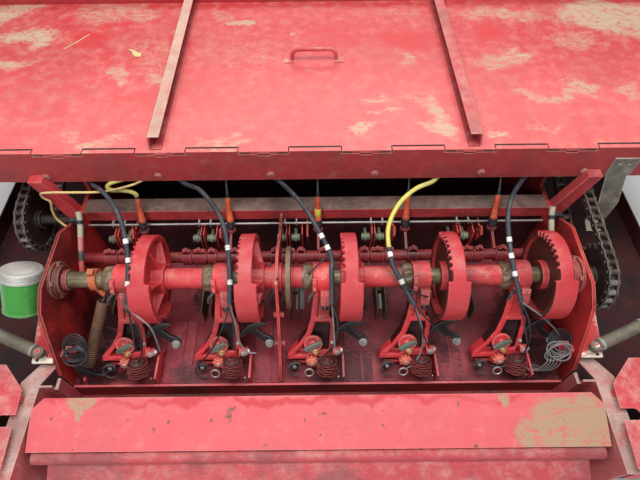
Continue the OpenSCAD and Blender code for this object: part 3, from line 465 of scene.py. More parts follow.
# Between two knotters lie two needle tongues with a knob each; guides stand at each knotter
tongues, guides = bmesh.new(), bmesh.new()
for number in knotters:
    x = knotter_x(number) * 1000
    if number < 5:
        slab(tongues, (x + 73, -426, 75), (x + 117, -250, 77.5), 0.0010)
        slab(tongues, (x + 121, -426, 75), (x + 146, -250, 78.5), 0.0010)
        for knob in (93, 132):
            slab(tongues, (x + knob - 4, -420, 77), (x + knob + 4, -412, 82), 0.0015)
    for left, right, rear, top in ((-76, -72, -158, 142), (-52, -48, -158, 138)):
        slab(guides, (x + left, -252, 75), (x + right, rear, top))
    slab(guides, (x - 72, -168, 75), (x - 52, -160, 96))
tongue_paint = painted(
    "tongue_paint", (142, 46, 56), (172, 84, 92), (150, 108, 102), (150, 70, 72),
    (0.9, 0.2, 0.5, 0.8, 0.2), grime=(34, 16, 18),
)
guide_steel = painted(
    "guide_steel", (84, 60, 44), (112, 96, 76), (130, 108, 84), (150, 132, 110),
    (0.8, 0.3, 0.5, 0.7, 0.5), grime=(26, 18, 15), metallic=0.2,
)
piece_from(tongues, "deck_tongues", "shade_red_paint", tongue_paint)
piece_from(guides, "needle_guides", "shade_red_paint", guide_steel)

# ---- Rails and walls ----
# Folded and welded sheet steel: the front rail with its spring lug, the sill, both side
# walls with base flanges and pans, and the rail with its plate behind the shaft. Red, chipped.

rail_paint = painted(
    "rail_paint", (184, 44, 50), (214, 88, 92), (196, 160, 142), (240, 150, 142),
    (0.6, 0.3, 1, 0.5, 0.5),
)
rail_dust = painted(
    "rail_dust", (84, 44, 44), (120, 78, 72), (128, 108, 96), (190, 120, 112),
    (0.8, 0.7, 0.6, 0.6, 0.3), grime=(40, 30, 28),
)
wall_paint = painted(
    "wall_paint", (174, 34, 34), (196, 58, 56), (160, 116, 100), (232, 128, 112),
    (0.5, 0.16, 1, 0.75, 0.45), grime=(44, 16, 16),
)
shade_paint = painted(
    "shade_paint", (62, 14, 18), (88, 28, 32), (84, 58, 54), (120, 52, 52),
    (0.6, 0.15, 0.4, 0.9, 0.3), grime=(20, 10, 10),
)
# Painted highlight: a lighter copy of the rail paint for the front rail's top faces, where the
# light falls
rail_top_highlight = painted(
    "rail_top_highlight", (206, 72, 80), (226, 108, 112), (210, 160, 148), (244, 180, 172),
    (0.6, 0.1, 0.8, 0.2, 0.5),
)
# Painted shade: a darker copy of the rail paint for the front rail's front faces and the whole sill
rail_front_shade = painted(
    "rail_front_shade", (146, 34, 40), (160, 60, 60), (150, 120, 100), (200, 110, 104),
    (0.7, 0.3, 0.8, 0.7, 0.4), grime=(60, 30, 26),
)
# Top faces take the painted highlight, front faces the painted shade
dress("front_rail", "red_paint", rail_paint, rail_front_shade, rail_top_highlight, edge=0.0012,
      choose=lambda c, n: 2 if n.z > 0.5 else 1 if n.y < -0.5 else 0)
dress("front_sill", "shade_red_paint", rail_front_shade)
for side in ("left", "right"):
    dress("side_wall_" + side, "red_paint", wall_paint, shade_paint,
          choose=lambda c, n: 1 if abs(c.x) > 0.645 and abs(n.y) < 0.5 or c.z < 0.07 else 0)
dress("rear_rail", "red_paint", rail_paint, rail_dust, shade_paint,
      choose=lambda c, n: 1 if n.z > 0.5 else 2 if n.y > 0.5 or n.z < -0.5 else 0)
dress("back_plate", "shade_red_paint", shade_paint)

# ---- Apron ----
# The sloping sheet that the operator leans on, its rolled edge and the bent foot sheet.
# Faded pink-red with dark chips and two worn beige patches.

apron_chips = [
    (-381, -561, 9, 7, 1.0), (-206, -535, 9, 13, 1.0), (-197, -521, 14, 5, 0.9),
    (-345, -547, 6, 5, 0.9), (-438, -540, 7, 5, 0.8), (-452, -622, 8, 3, 1.0),
    (-245, -542, 10, 6, 0.8), (-312, -571, 5, 4, 0.8), (-560, -602, 5, 4, 0.9),
    (-618, -538, 6, 5, 0.9), (12, -533, 10, 6, 0.9), (7, -580, 8, 7, 0.7),
    (328, -517, 5, 14, 0.9), (357, -600, 9, 6, 0.8), (-120, -596, 6, 4, 0.7),
    (-30, -546, 4, 4, 0.9), (150, -560, 5, 4, 0.8), (232, -606, 6, 4, 0.8),
]
apron_finish = smeared(
    "apron_paint", rgb(208, 84, 90), rgb(220, 104, 108),
    [(-545, -503, 40, 20, 1.4), (-552, -528, 12, 22, 1.2), (560, -565, 70, 70, 1.7),
     (480, -585, 30, 44, 1.2), (640, -560, 60, 80, 1.5), (430, -512, 16, 22, 1.0)],
    [(-60, -502, 520, 10, 1.0), (-610, -502, 46, 12, 0.9), (440, -508, 30, 12, 0.8)],
    rgb(166, 142, 112), rgb(188, 42, 48), warp=0.012, cover=0.88, chips=apron_chips,
    Dust=rgb(220, 150, 142), Bare=rgb(242, 180, 172), Fading=0.6, Dusting=0.08, Wear=0.8,
    Soiling=0.12,
)
foot_paint = painted(
    "foot_paint", (176, 60, 68), (208, 96, 102), (190, 150, 138), (230, 150, 146),
    (0.7, 0.35, 0.7, 0.5, 0.4),
)
dress("apron", "pale_red_paint", apron_finish)
dress("apron_foot", "pale_red_paint", foot_paint)

# ---- Side flanges and corner panels ----
# Dusty strips beside the apron with grey chips, and the panels that close the corners,
# each with a round-ended notch for the door's latch.

flange_paint = painted(
    "flange_paint", (178, 62, 70), (206, 116, 116), (190, 170, 158), (210, 190, 180),
    (0.7, 0.75, 0.9, 0.35, 0.35),
)
panel_paint = painted(
    "panel_paint", (188, 50, 58), (222, 104, 108), (206, 172, 156), (238, 172, 166),
    (0.8, 0.3, 0.8, 0.3, 0.5),
)
for side in ("left", "right"):
    dress("side_flange_" + side, "red_paint", flange_paint)
    dress("corner_panel_" + side, "pale_red_paint", panel_paint)

# ---- Hood ----
# One wide steel sheet on hinge knuckles, a little wavy from years of hands and boots.
# Red with a painted sheen of paler pink near the hinge, and beige chaff dust smeared over it.

dust_smears = [
    (-846, 489, 96, 62, 1.15), (-940, 634, 90, 66, 1.0), (-585, 612, 170, 60, 0.6),
    (-860, 358, 60, 36, 0.9), (-459, 381, 70, 120, 0.4), (-434, 292, 48, 44, 0.8),
    (-553, 292, 36, 36, 0.7), (-545, 54, 120, 34, 0.55), (-568, 44, 50, 28, 0.9),
    (-276, 580, 46, 40, 0.5), (-214, 545, 48, 22, 1.0), (-207, 26, 98, 16, 0.65),
    (-193, 370, 130, 100, 0.3), (-32, 466, 22, 12, 0.7), (264, 577, 90, 36, 0.35),
    (263, 347, 32, 30, 0.55), (174, 203, 40, 20, 0.7), (171, 140, 34, 12, 0.65),
    (112, 74, 34, 24, 1.05), (290, 150, 34, 70, 0.8), (277, 205, 50, 26, 0.6),
    (312, 96, 56, 54, 1.05), (440, 46, 40, 16, 0.95), (534, 358, 110, 34, 0.7),
    (575, 371, 50, 20, 1.0), (640, 196, 150, 26, 0.7), (722, 226, 50, 22, 0.9),
    (838, 202, 40, 70, 0.7), (571, 76, 62, 14, 0.5), (745, 450, 100, 44, 0.55),
    (900, 560, 150, 84, 1.3), (980, 480, 60, 50, 1.0), (580, 585, 190, 50, 0.7),
]
rubbed_clean = [
    (-654, 480, 70, 50, 0.9), (-600, 560, 120, 16, 0.6), (270, 450, 90, 60, 0.9),
    (518, 483, 60, 52, 0.9), (60, 470, 110, 46, 0.5), (-480, 190, 110, 40, 0.2),
]
# Painted sheen: the pink argument makes the sheet paler towards the hinge
hood_finish = smeared(
    "hood_paint", rgb(190, 50, 54), rgb(206, 84, 84), dust_smears, rubbed_clean,
    rgb(184, 164, 138), rgb(196, 34, 40), pink=rgb(216, 96, 96), gloss=0.62, cover=0.86,
    warp=0.05, marks=0.7,
    Dust=rgb(204, 138, 124), Bare=rgb(236, 156, 148), Fading=0.6, Dusting=0.28, Wear=0.5,
    Soiling=0.10,
)

hood = copy_of("hood", "hood_sheet")
bm = bmesh.new()
bm.from_mesh(hood.data)
hood_half, hinge_y, rear_y, sheet_top, wave_high = 1.05, 0.02, 0.67, 0.4865, 0.0009
for normal, low, high, step in (
    (Vector((1, 0, 0)), -hood_half, hood_half, 0.035), (Vector((0, 1, 0)), hinge_y, rear_y, 0.034),
):
    at = low + step
    while at < high - step / 2:
        everything = bm.verts[:] + bm.edges[:] + bm.faces[:]
        bmesh.ops.bisect_plane(bm, geom=everything, plane_co=normal * at, plane_no=normal)
        at += step
for vertex in bm.verts:
    x, y, z = vertex.co
    if z > sheet_top and y > hinge_y:
        rise = min(1.0, (y - hinge_y) / 0.12) * min(1.0, (rear_y - y) / 0.05)
        wave = 0.5 * math.sin(x * 9 + 1) * math.sin(y * 11) + 0.5 * math.sin(x * 4.3 - y * 7 + 2)
        vertex.co.z += wave_high * rise * wave
bm.to_mesh(hood.data)
bm.free()
give(hood.data, [hood_finish])
smooth_sides(hood.data)
fit(hood, "pale_red_paint", "hood")

# The sheet's rear edge is folded up; a straw and a dry leaf lie on it
fold_paint = painted(
    "fold_paint", (158, 34, 40), (190, 70, 74), (190, 150, 134), (220, 140, 132),
    (0.7, 0.25, 0.8, 0.3, 0.5),
)
straw_yellow = painted(
    "straw_yellow", (206, 176, 112), (226, 206, 150), (206, 190, 160), (236, 224, 180),
    (0.8, 0.2, 0.3, 0.2, 0.4),
)


def skin(bm, rings):
    """Faces between rings of points, any of which may be one point, and over both ends."""
    for low, high in zip(rings, rings[1:]):
        around = max(len(low), len(high))
        for i in range(around):
            j = (i + 1) % around
            if len(low) == 1:
                bm.faces.new((low[0], high[j], high[i]))
            elif len(high) == 1:
                bm.faces.new((low[i], low[j], high[0]))
            else:
                bm.faces.new((low[i], low[j], high[j], high[i]))
    for ring in (rings[0][::-1], rings[-1]):
        if len(ring) > 1:
            bm.faces.new(ring)


lip = bmesh.new()
slab(lip, (-1046, 664.5, 487), (1046, 667.5, 524), 0.0012)
piece_from(lip, "hood_rear_fold", "red_paint", fold_paint, body="hood_set")
litter = bmesh.new()
start, end, half_wide = Vector((-0.727, 0.424, 0.4908)), Vector((-0.669, 0.493, 0.4912)), 0.0013
up = Vector((0, 0, half_wide))
side = (end - start).cross(up).normalized() * half_wide
rings = []
for share in (i / 8 for i in range(9)):
    middle = start.lerp(end, share) + side * 1.6 * math.sin(share * 5)
    rings.append([litter.verts.new(middle + o) for o in (side, up, -side, -up)])
skin(litter, rings)
leaf = [(-540, 418), (-525, 414), (-507, 402), (-494, 394), (-497, 382), (-511, 380), (-519, 392),
        (-527, 406)]
low = [
    litter.verts.new((x / 1000, y / 1000, 0.4903 + 0.0016 * (i % 2)))
    for i, (x, y) in enumerate(leaf)
]
skin(litter, [low, [litter.verts.new(v.co + Vector((0, 0, 0.0008))) for v in low]])
piece_from(litter, "hood_straw", "hose_plastic", straw_yellow, body="hood_set")

# ---- Hood ribs, handle and rails ----
# Two folded ribs are welded across the sheet; the handle is a bent round bar on two
# small feet. Rails and a rear sheet carry the hood's edges.

rib_paint = painted(
    "rib_paint", (150, 38, 44), (170, 58, 62), (180, 140, 126), (200, 130, 124),
    (0.6, 0.15, 0.7, 0.3, 0.5),
)
handle_paint = painted(
    "handle_paint", (176, 50, 58), (232, 128, 124), (206, 170, 154), (240, 176, 168),
    (0.6, 0.45, 0.7, 0.2, 0.5),
)
rib_dust = painted(
    "rib_dust", (198, 100, 98), (206, 140, 128), (198, 172, 152), (214, 190, 176),
    (0.8, 0.75, 0.8, 0.25, 0.3),
)
rib_pink = painted(
    "rib_pink", (186, 70, 74), (204, 108, 104), (190, 150, 136), (210, 150, 142),
    (0.8, 0.35, 0.8, 0.3, 0.4),
)
dress("hood_ribs", "red_paint", rib_paint, rib_dust, rib_pink,
      choose=lambda c, n: 0 if n.z < 0.5 or c.z < 0.505 else 1 if c.x < 0 else 2)
dress("hood_handle", "red_paint", handle_paint, edge=0.0005)
outer_paint = painted(
    "outer_paint", (166, 38, 44), (196, 76, 78), (190, 146, 130), (230, 140, 132),
    (0.8, 0.35, 1, 0.35, 0.5), grime=(70, 30, 30),
)
dress("hood_frame", "shade_red_paint", shade_paint, outer_paint,
      choose=lambda c, n: 1 if n.y > 0.5 and c.y > 0.6 or abs(n.x) > 0.5 and abs(c.x) > 1.0 else 0)

# ---- Beam ----
# A folded channel across the bay that carries the hood's hinge. Its tabs come up through
# the hood sheet, and six bolts with washers hold the twine brackets inside it.

beam_paint = painted(
    "beam_paint", (162, 46, 50), (176, 72, 72), (152, 122, 110), (216, 122, 118),
    (0.6, 0.75, 0.8, 0.3, 0.45),
)
dress("cross_beam", "red_paint", beam_paint, hood_finish,
      choose=lambda c, n: 1 if c.z > 0.4868 else 0)


def ring_of(bm, middle, side, other, radius, sides):
    return [
        bm.verts.new(middle + (side * math.cos(a) + other * math.sin(a)) * radius)
        for a in (2 * math.pi * i / sides for i in range(sides))
    ]


def turned(bm, profile, base, axis, sides=24):
    """Turns a profile of (distance, radius) pairs round an axis that starts at base."""
    axis = Vector(axis).normalized()
    side = axis.orthogonal().normalized()
    other = axis.cross(side)
    rings = []
    for run, radius in profile:
        middle = Vector(base) + axis * run
        rings.append(
            ring_of(bm, middle, side, other, radius, sides) if radius else [bm.verts.new(middle)]
        )
    skin(bm, rings)


def hex_bolt(bm, base, axis, across, height, washer):
    """A washer, a chamfered six-sided head and a flat top."""
    if washer:
        turned(bm, [(0, washer * 0.5), (0, washer), (0.0014, washer), (0.0018, washer * 0.97),
                    (0.0018, across * 0.6)], base, axis, 24)
    turned(bm, [(0.001, across * 0.99), (height * 0.8, across), (height, across * 0.86),
                (height, 0)], base, axis, 6)


bolt_metal = painted(
    "bolt_metal", (138, 54, 56), (164, 96, 92), (176, 140, 128), (196, 150, 144),
    (0.8, 0.3, 0.8, 0.3, 0.5),
)
bm = bmesh.new()
for x in (-0.685, -0.400, -0.113, 0.152, 0.423, 0.685):
    hex_bolt(bm, (x, 0, 0.408), (0, -1, 0), 0.008, 0.006, 0.0105)
piece_from(bm, "beam_bolts", "red_paint", bolt_metal)
# Painted shadow: a near-black strip laid in the gap behind each hinge tab, where there is only
# shade
painted_hinge_shadow = painted(
    "painted_hinge_shadow", (36, 14, 16), (52, 26, 26), (90, 70, 62), (70, 40, 38), (0.5, 0.1, 0.3, 0.5, 0.2),
)
bm = bmesh.new()
tab_pitch, tab_half = 250, 62
for middle in (k * tab_pitch for k in range(-3, 4)):
    slab(bm, (middle - tab_half, 11.4, 487.5), (middle + tab_half, 16.9, 490.25), 0.0002)
piece_from(bm, "hinge_shadow_strip", "shade_red_paint", painted_hinge_shadow)
bm = bmesh.new()
for i in range(9):
    for z in (0.030, 0.440):
        hex_bolt(bm, (-0.96 + 0.24 * i, 0.669, z), (0, 1, 0), 0.007, 0.0055, 0.0105)
piece_from(bm, "rear_sheet_bolts", "red_paint", bolt_metal)
dress("braces", "red_paint", rail_paint, edge=0.0012)

# ---- End bracket ----
# A bent strip of galvanised sheet on the beam's right end, with two round holes.
# Grey, dusty, with pale worn edges.

zinc = painted(
    "dusty_zinc", (96, 90, 82), (158, 154, 144), (178, 166, 148), (216, 214, 206),
    (1, 0.75, 1, 0.7, 0.45), grime=(44, 36, 32), metallic=0.3,
)
dress("end_bracket", "galvanised", zinc, edge=0.0007)

# ---- Knotter shaft ----
# A round bar in red sleeves; greasy collars sit beside the discs and a bare oily length
# shows by the left wall. The tan thrust disc stands beside the centre support.

sleeve_paint = painted(
    "sleeve_paint", (186, 42, 48), (216, 84, 88), (190, 150, 130), (236, 160, 152),
    (0.6, 0.32, 0.7, 0.7, 0.6), grime=(58, 38, 28),
)
brown_grease = painted(
    "brown_grease", (92, 70, 52), (134, 108, 82), (160, 134, 104), (150, 130, 110),
    (0.8, 0.3, 0.4, 0.6, 0.75), grime=(30, 22, 17), bump=0.5,
)
oily_bar = painted(
    "oily_bar", (112, 98, 72), (150, 136, 104), (150, 128, 98), (180, 170, 150),
    (0.8, 0.2, 0.4, 0.5, 0.8), grime=(40, 30, 22), metallic=0.4,
)


shaft_y, shaft_z = -0.24, 0.3


def shaft_finish(c, n):
    """Grease on the collars and their faces, a bare bar where it is thinnest, else paint."""
    out = math.hypot(c.y - shaft_y, c.z - shaft_z)
    if out > 0.0275 or abs(n.x) > 0.9 and out > 0.021:
        return 1
    if out < 0.0215:
        return 2
    return 0


dress("knotter_shaft", "red_casting", sleeve_paint, brown_grease, oily_bar, edge=0.0007,
      choose=shaft_finish)

# Each collar carries a belt of lumpy grease
random.seed(11)
lumps = bmesh.new()
around, across, belt_wide, belt_radius = 64, 11, 0.027, 0.0292
for number in knotters:
    middle = knotter_x(number) - 0.021
    swell = [[random.random() for _ in range(10)] for _ in range(4)]
    rings = []
    for share in (i / (across - 1) for i in range(across)):
        belly = math.sin(math.pi * share) ** 0.5
        ring = []
        for angle in (2 * math.pi * j / around for j in range(around)):
            high = sum(
                row[0] * math.sin((2 * k + 3) * angle + 6.3 * row[1] + 9 * share * row[2])
                for k, row in enumerate(swell)
            )
            radius = belt_radius + belly * (0.0030 + 0.0026 * high)
            ring.append(lumps.verts.new((
                middle + belt_wide * (share - 0.5), shaft_y + radius * math.cos(angle),
                shaft_z + radius * math.sin(angle),
            )))
        rings.append(ring)
    skin(lumps, rings)
piece_from(lumps, "collar_grease", "greasy_steel", brown_grease, body="shaft_set", angle=60)

# ---- Cam discs ----
# Five iron castings, each with a toothed sector, a wide cam sector, ribs and a hub.
# Red paint, rubbed bright at the rims, with brown grease thrown over the faces.

disc_paint = painted(
    "disc_paint", (176, 40, 46), (214, 84, 88), (180, 140, 120), (234, 150, 144),
    (0.5, 0.18, 0.8, 0.22, 0.65), grime=(96, 44, 36), bump=0.3,
)


def cast_copy(node, name, grain, finishes, choose):
    """A solid with the soft corners of a casting: remeshed fine, eased and thinned on its flats."""
    piece = copy_of(node, name)
    scene.collection.objects.link(piece)
    remesh = piece.modifiers.new("remesh", "REMESH")
    remesh.mode = "VOXEL"
    remesh.voxel_size = grain
    ease = piece.modifiers.new("ease", "SMOOTH")
    ease.factor = 0.5
    ease.iterations = 4
    thin = piece.modifiers.new("thin", "DECIMATE")
    thin.decimate_type = "DISSOLVE"
    thin.angle_limit = math.radians(3.0)
    ready = piece.evaluated_get(bpy.context.evaluated_depsgraph_get())
    mesh = bpy.data.meshes.new_from_object(ready)
    piece.modifiers.clear()
    piece.data = mesh
    mesh.materials.clear()
    give(mesh, finishes, choose)
    smooth_sides(mesh, 50)
    fit(piece, "red_casting", node)


disc_grease = painted(
    "disc_grease", (66, 34, 28), (110, 62, 50), (120, 96, 72), (176, 96, 84),
    (0.8, 0.25, 0.5, 0.8, 0.75), grime=(24, 15, 12), bump=0.6,
)
for number in knotters:
    cast_copy("cam_disc_%d" % number, "cam_disc_casting_%d" % number, 0.0022,
              [disc_paint, disc_grease], lambda c, n: 1 if n.x < -0.55 and number > 3 else 0)

# ---- Knotter castings ----
# Iron castings on the shaft: a hub, a curved arm, a window with its crossbar, a bottom
# bar and a foot. Bright red paint, pink where it is worn, with painted shade in the window.

casting_paint = painted(
    "casting_paint", (198, 44, 50), (226, 84, 88), (206, 150, 134), (244, 160, 152),
    (0.6, 0.28, 0.9, 0.6, 0.55), grime=(66, 34, 28), bump=0.45,
)
painted_window_shade = painted(
    "painted_window_shade", (44, 14, 16), (74, 26, 28), (86, 54, 48), (120, 50, 50),
    (0.7, 0.15, 0.3, 0.8, 0.5), grime=(14, 8, 8), bump=0.5,
)


knotter_lean = math.radians(31.4)


def knotter_place(number):
    """Where knotter 1 to 5 stands: x across, y deep and z up along its lean, from the shaft."""
    return (
        Matrix.Translation((knotter_x(number), shaft_y, shaft_z))
        @ Matrix.Rotation(-knotter_lean, 4, "X")
    )


def window_finish(number):
    """Painted shade: dark paint on the web behind the window, between the arms and above the bottom
    bar.
    """
    back = knotter_place(number).inverted()

    def choose(centre, normal):
        x, y, z = back @ centre
        return 1 if y > -0.0165 and 0.050 < -z < 0.205 and abs(x) < 0.047 and normal.y < 0.6 else 0

    return choose


for number in knotters:
    cast_copy("knotter_frame_%d" % number, "knotter_casting_%d" % number, 0.0020,
              [casting_paint, painted_window_shade], window_finish(number))

# ---- Knotter heads ----
# What the castings carry: the round plate with its steel finger, the star pinion, the
# small gear, the stack of notched twine discs, the wavy lever, pins, bolts and nipple.

black_lever = painted(
    "black_lever", (26, 20, 22), (50, 40, 42), (86, 66, 60), (150, 140, 136),
    (0.6, 0.25, 0.7, 0.5, 0.65), grime=(16, 13, 12),
)
orange_star = painted(
    "orange_star", (206, 70, 46), (226, 112, 84), (180, 140, 110), (222, 190, 176),
    (0.6, 0.2, 0.9, 0.5, 0.6), grime=(70, 40, 28),
)
worn_steel = painted(
    "worn_steel", (150, 146, 142), (196, 194, 192), (170, 150, 130), (226, 226, 226),
    (0.8, 0.2, 0.8, 0.5, 0.7), grime=(60, 46, 38), metallic=0.5,
)
disc_steel = painted(
    "disc_steel", (66, 24, 24), (104, 44, 42), (110, 70, 60), (200, 104, 98),
    (0.7, 0.1, 1, 0.8, 0.65), grime=(20, 10, 10),
)
bearing_pink = painted(
    "worn_casting", (176, 62, 66), (206, 104, 104), (180, 140, 126), (226, 160, 152),
    (0.8, 0.35, 0.9, 0.6, 0.5), grime=(66, 36, 30), bump=0.5,
)
# Pale brass for the collar above the star, and for the thin spike, where the pale colour is a
# painted glint
brass_and_glint = painted(
    "brass_and_painted_glint", (186, 150, 84), (222, 196, 140), (170, 140, 100), (240, 226, 190),
    (0.8, 0.2, 0.6, 0.4, 0.8), grime=(70, 48, 30), metallic=0.6,
)
finger_steel = painted(
    "finger_steel", (104, 116, 104), (150, 160, 148), (140, 124, 104), (200, 204, 196),
    (0.8, 0.2, 0.7, 0.5, 0.7), grime=(48, 40, 34), metallic=0.4,
)


def lay_in(whole, part, finish, place=Matrix()):
    """Adds a part with one of the piece's finishes, moved to its place."""
    part.transform(place)
    bmesh.ops.recalc_face_normals(part, faces=part.faces)
    for face in part.faces:
        face.material_index = finish
    carrier = bpy.data.meshes.new("carrier")
    part.to_mesh(carrier)
    part.free()
    whole.from_mesh(carrier)
    bpy.data.meshes.remove(carrier)


def blank(outline, back, front, soften=0.0007):
    """A plate cut to an outline of x and down, in mm, between two depths, its edges broken."""
    bm = bmesh.new()
    cap = bm.faces.new([bm.verts.new((x / 1000, back, -down / 1000)) for x, down in outline])
    grown = bmesh.ops.extrude_face_region(bm, geom=[cap])["geom"]
    bmesh.ops.translate(
        bm, verts=[g for g in grown if isinstance(g, bmesh.types.BMVert)], vec=(0, front - back, 0)
    )
    bmesh.ops.recalc_face_normals(bm, faces=bm.faces)
    sharp = [e for e in bm.edges if e.calc_face_angle(0.0) > 0.45]
    bmesh.ops.bevel(bm, geom=sharp, offset=soften, segments=2, profile=0.6, affect="EDGES")
    return bm


def lathe(whole, place, finish, *shape):
    part = bmesh.new()
    turned(part, *shape)
    lay_in(whole, part, finish, place)


def bolt_in(whole, place, finish, *bolt):
    part = bmesh.new()
    hex_bolt(part, *bolt)
    lay_in(whole, part, finish, place)


def toothed(x, down, outer, inner, teeth, turn=0.0):
    """The outline of a wheel with flat-topped teeth."""
    return [
        (x + r * math.cos(a), down + r * math.sin(a))
        for r, a in (
            (outer if i % 4 in (1, 2) else inner, turn + 2 * math.pi * i / (teeth * 4))
            for i in range(teeth * 4)
        )
    ]


def eased(points, steps=8):
    """A smooth path through the points, which are in mm."""
    p = [Vector(q) / 1000 for q in points]
    p = [p[0] * 2 - p[1]] + p + [p[-1] * 2 - p[-2]]
    path = []
    for a, b, c, d in zip(p, p[1:], p[2:], p[3:]):
        for i in range(steps):
            t = i / steps
            path.append(0.5 * (
                2 * b + (c - a) * t + (2 * a - 5 * b + 4 * c - d) * t ** 2
                + (3 * b - a - 3 * c + d) * t ** 3
            ))
    return path + [p[-2]]


def run_of(path):
    """The distance along a path at each of its points."""
    run = [0.0]
    for a, b in zip(path, path[1:]):
        run.append(run[-1] + (b - a).length)
    return run


def part_of(path, step, start=0.0, stop=math.inf):
    """The stretch of a path between two distances, with even points a step apart."""
    run = run_of(path)
    stop = min(stop, run[-1])
    count = max(2, int((stop - start) / step) + 1)
    out, i = [], 0
    for n in range(count):
        want = start + (stop - start) * n / (count - 1)
        while i < len(run) - 2 and run[i + 1] < want:
            i += 1
        t = (want - run[i]) / max(run[i + 1] - run[i], 1e-9)
        out.append(path[i].lerp(path[i + 1], min(max(t, 0.0), 1.0)))
    return out


def tube(bm, path, radius, sides):
    """A tube along a path; radius is a length or a function of the distance run."""
    run = run_of(path)
    side = (path[1] - path[0]).orthogonal().normalized()
    rings = []
    for i, point in enumerate(path):
        along = (path[min(i + 1, len(path) - 1)] - path[max(i - 1, 0)]).normalized()
        side = (side - along * side.dot(along)).normalized()
        other = along.cross(side)
        r = radius(run[i]) if callable(radius) else radius
        rings.append(ring_of(bm, point, side, other, r, sides))
    skin(bm, rings)


def tube_in(whole, place, finish, points, steps, radius, sides=8):
    part = bmesh.new()
    tube(part, eased(points, steps), radius, sides)
    lay_in(whole, part, finish, place)


def oblong(left, top, right, bottom):
    return [(left, top), (right, top), (right, bottom), (left, bottom)]


def rounded_outline(points, steps=4):
    """An outline in mm that turns softly through its points."""
    loop = points[-1:] + points + points[:2]
    path = eased([(x, 0, down) for x, down in loop], steps)
    return [(p.x * 1000, p.z * 1000) for p in path[steps:-2 * steps]]


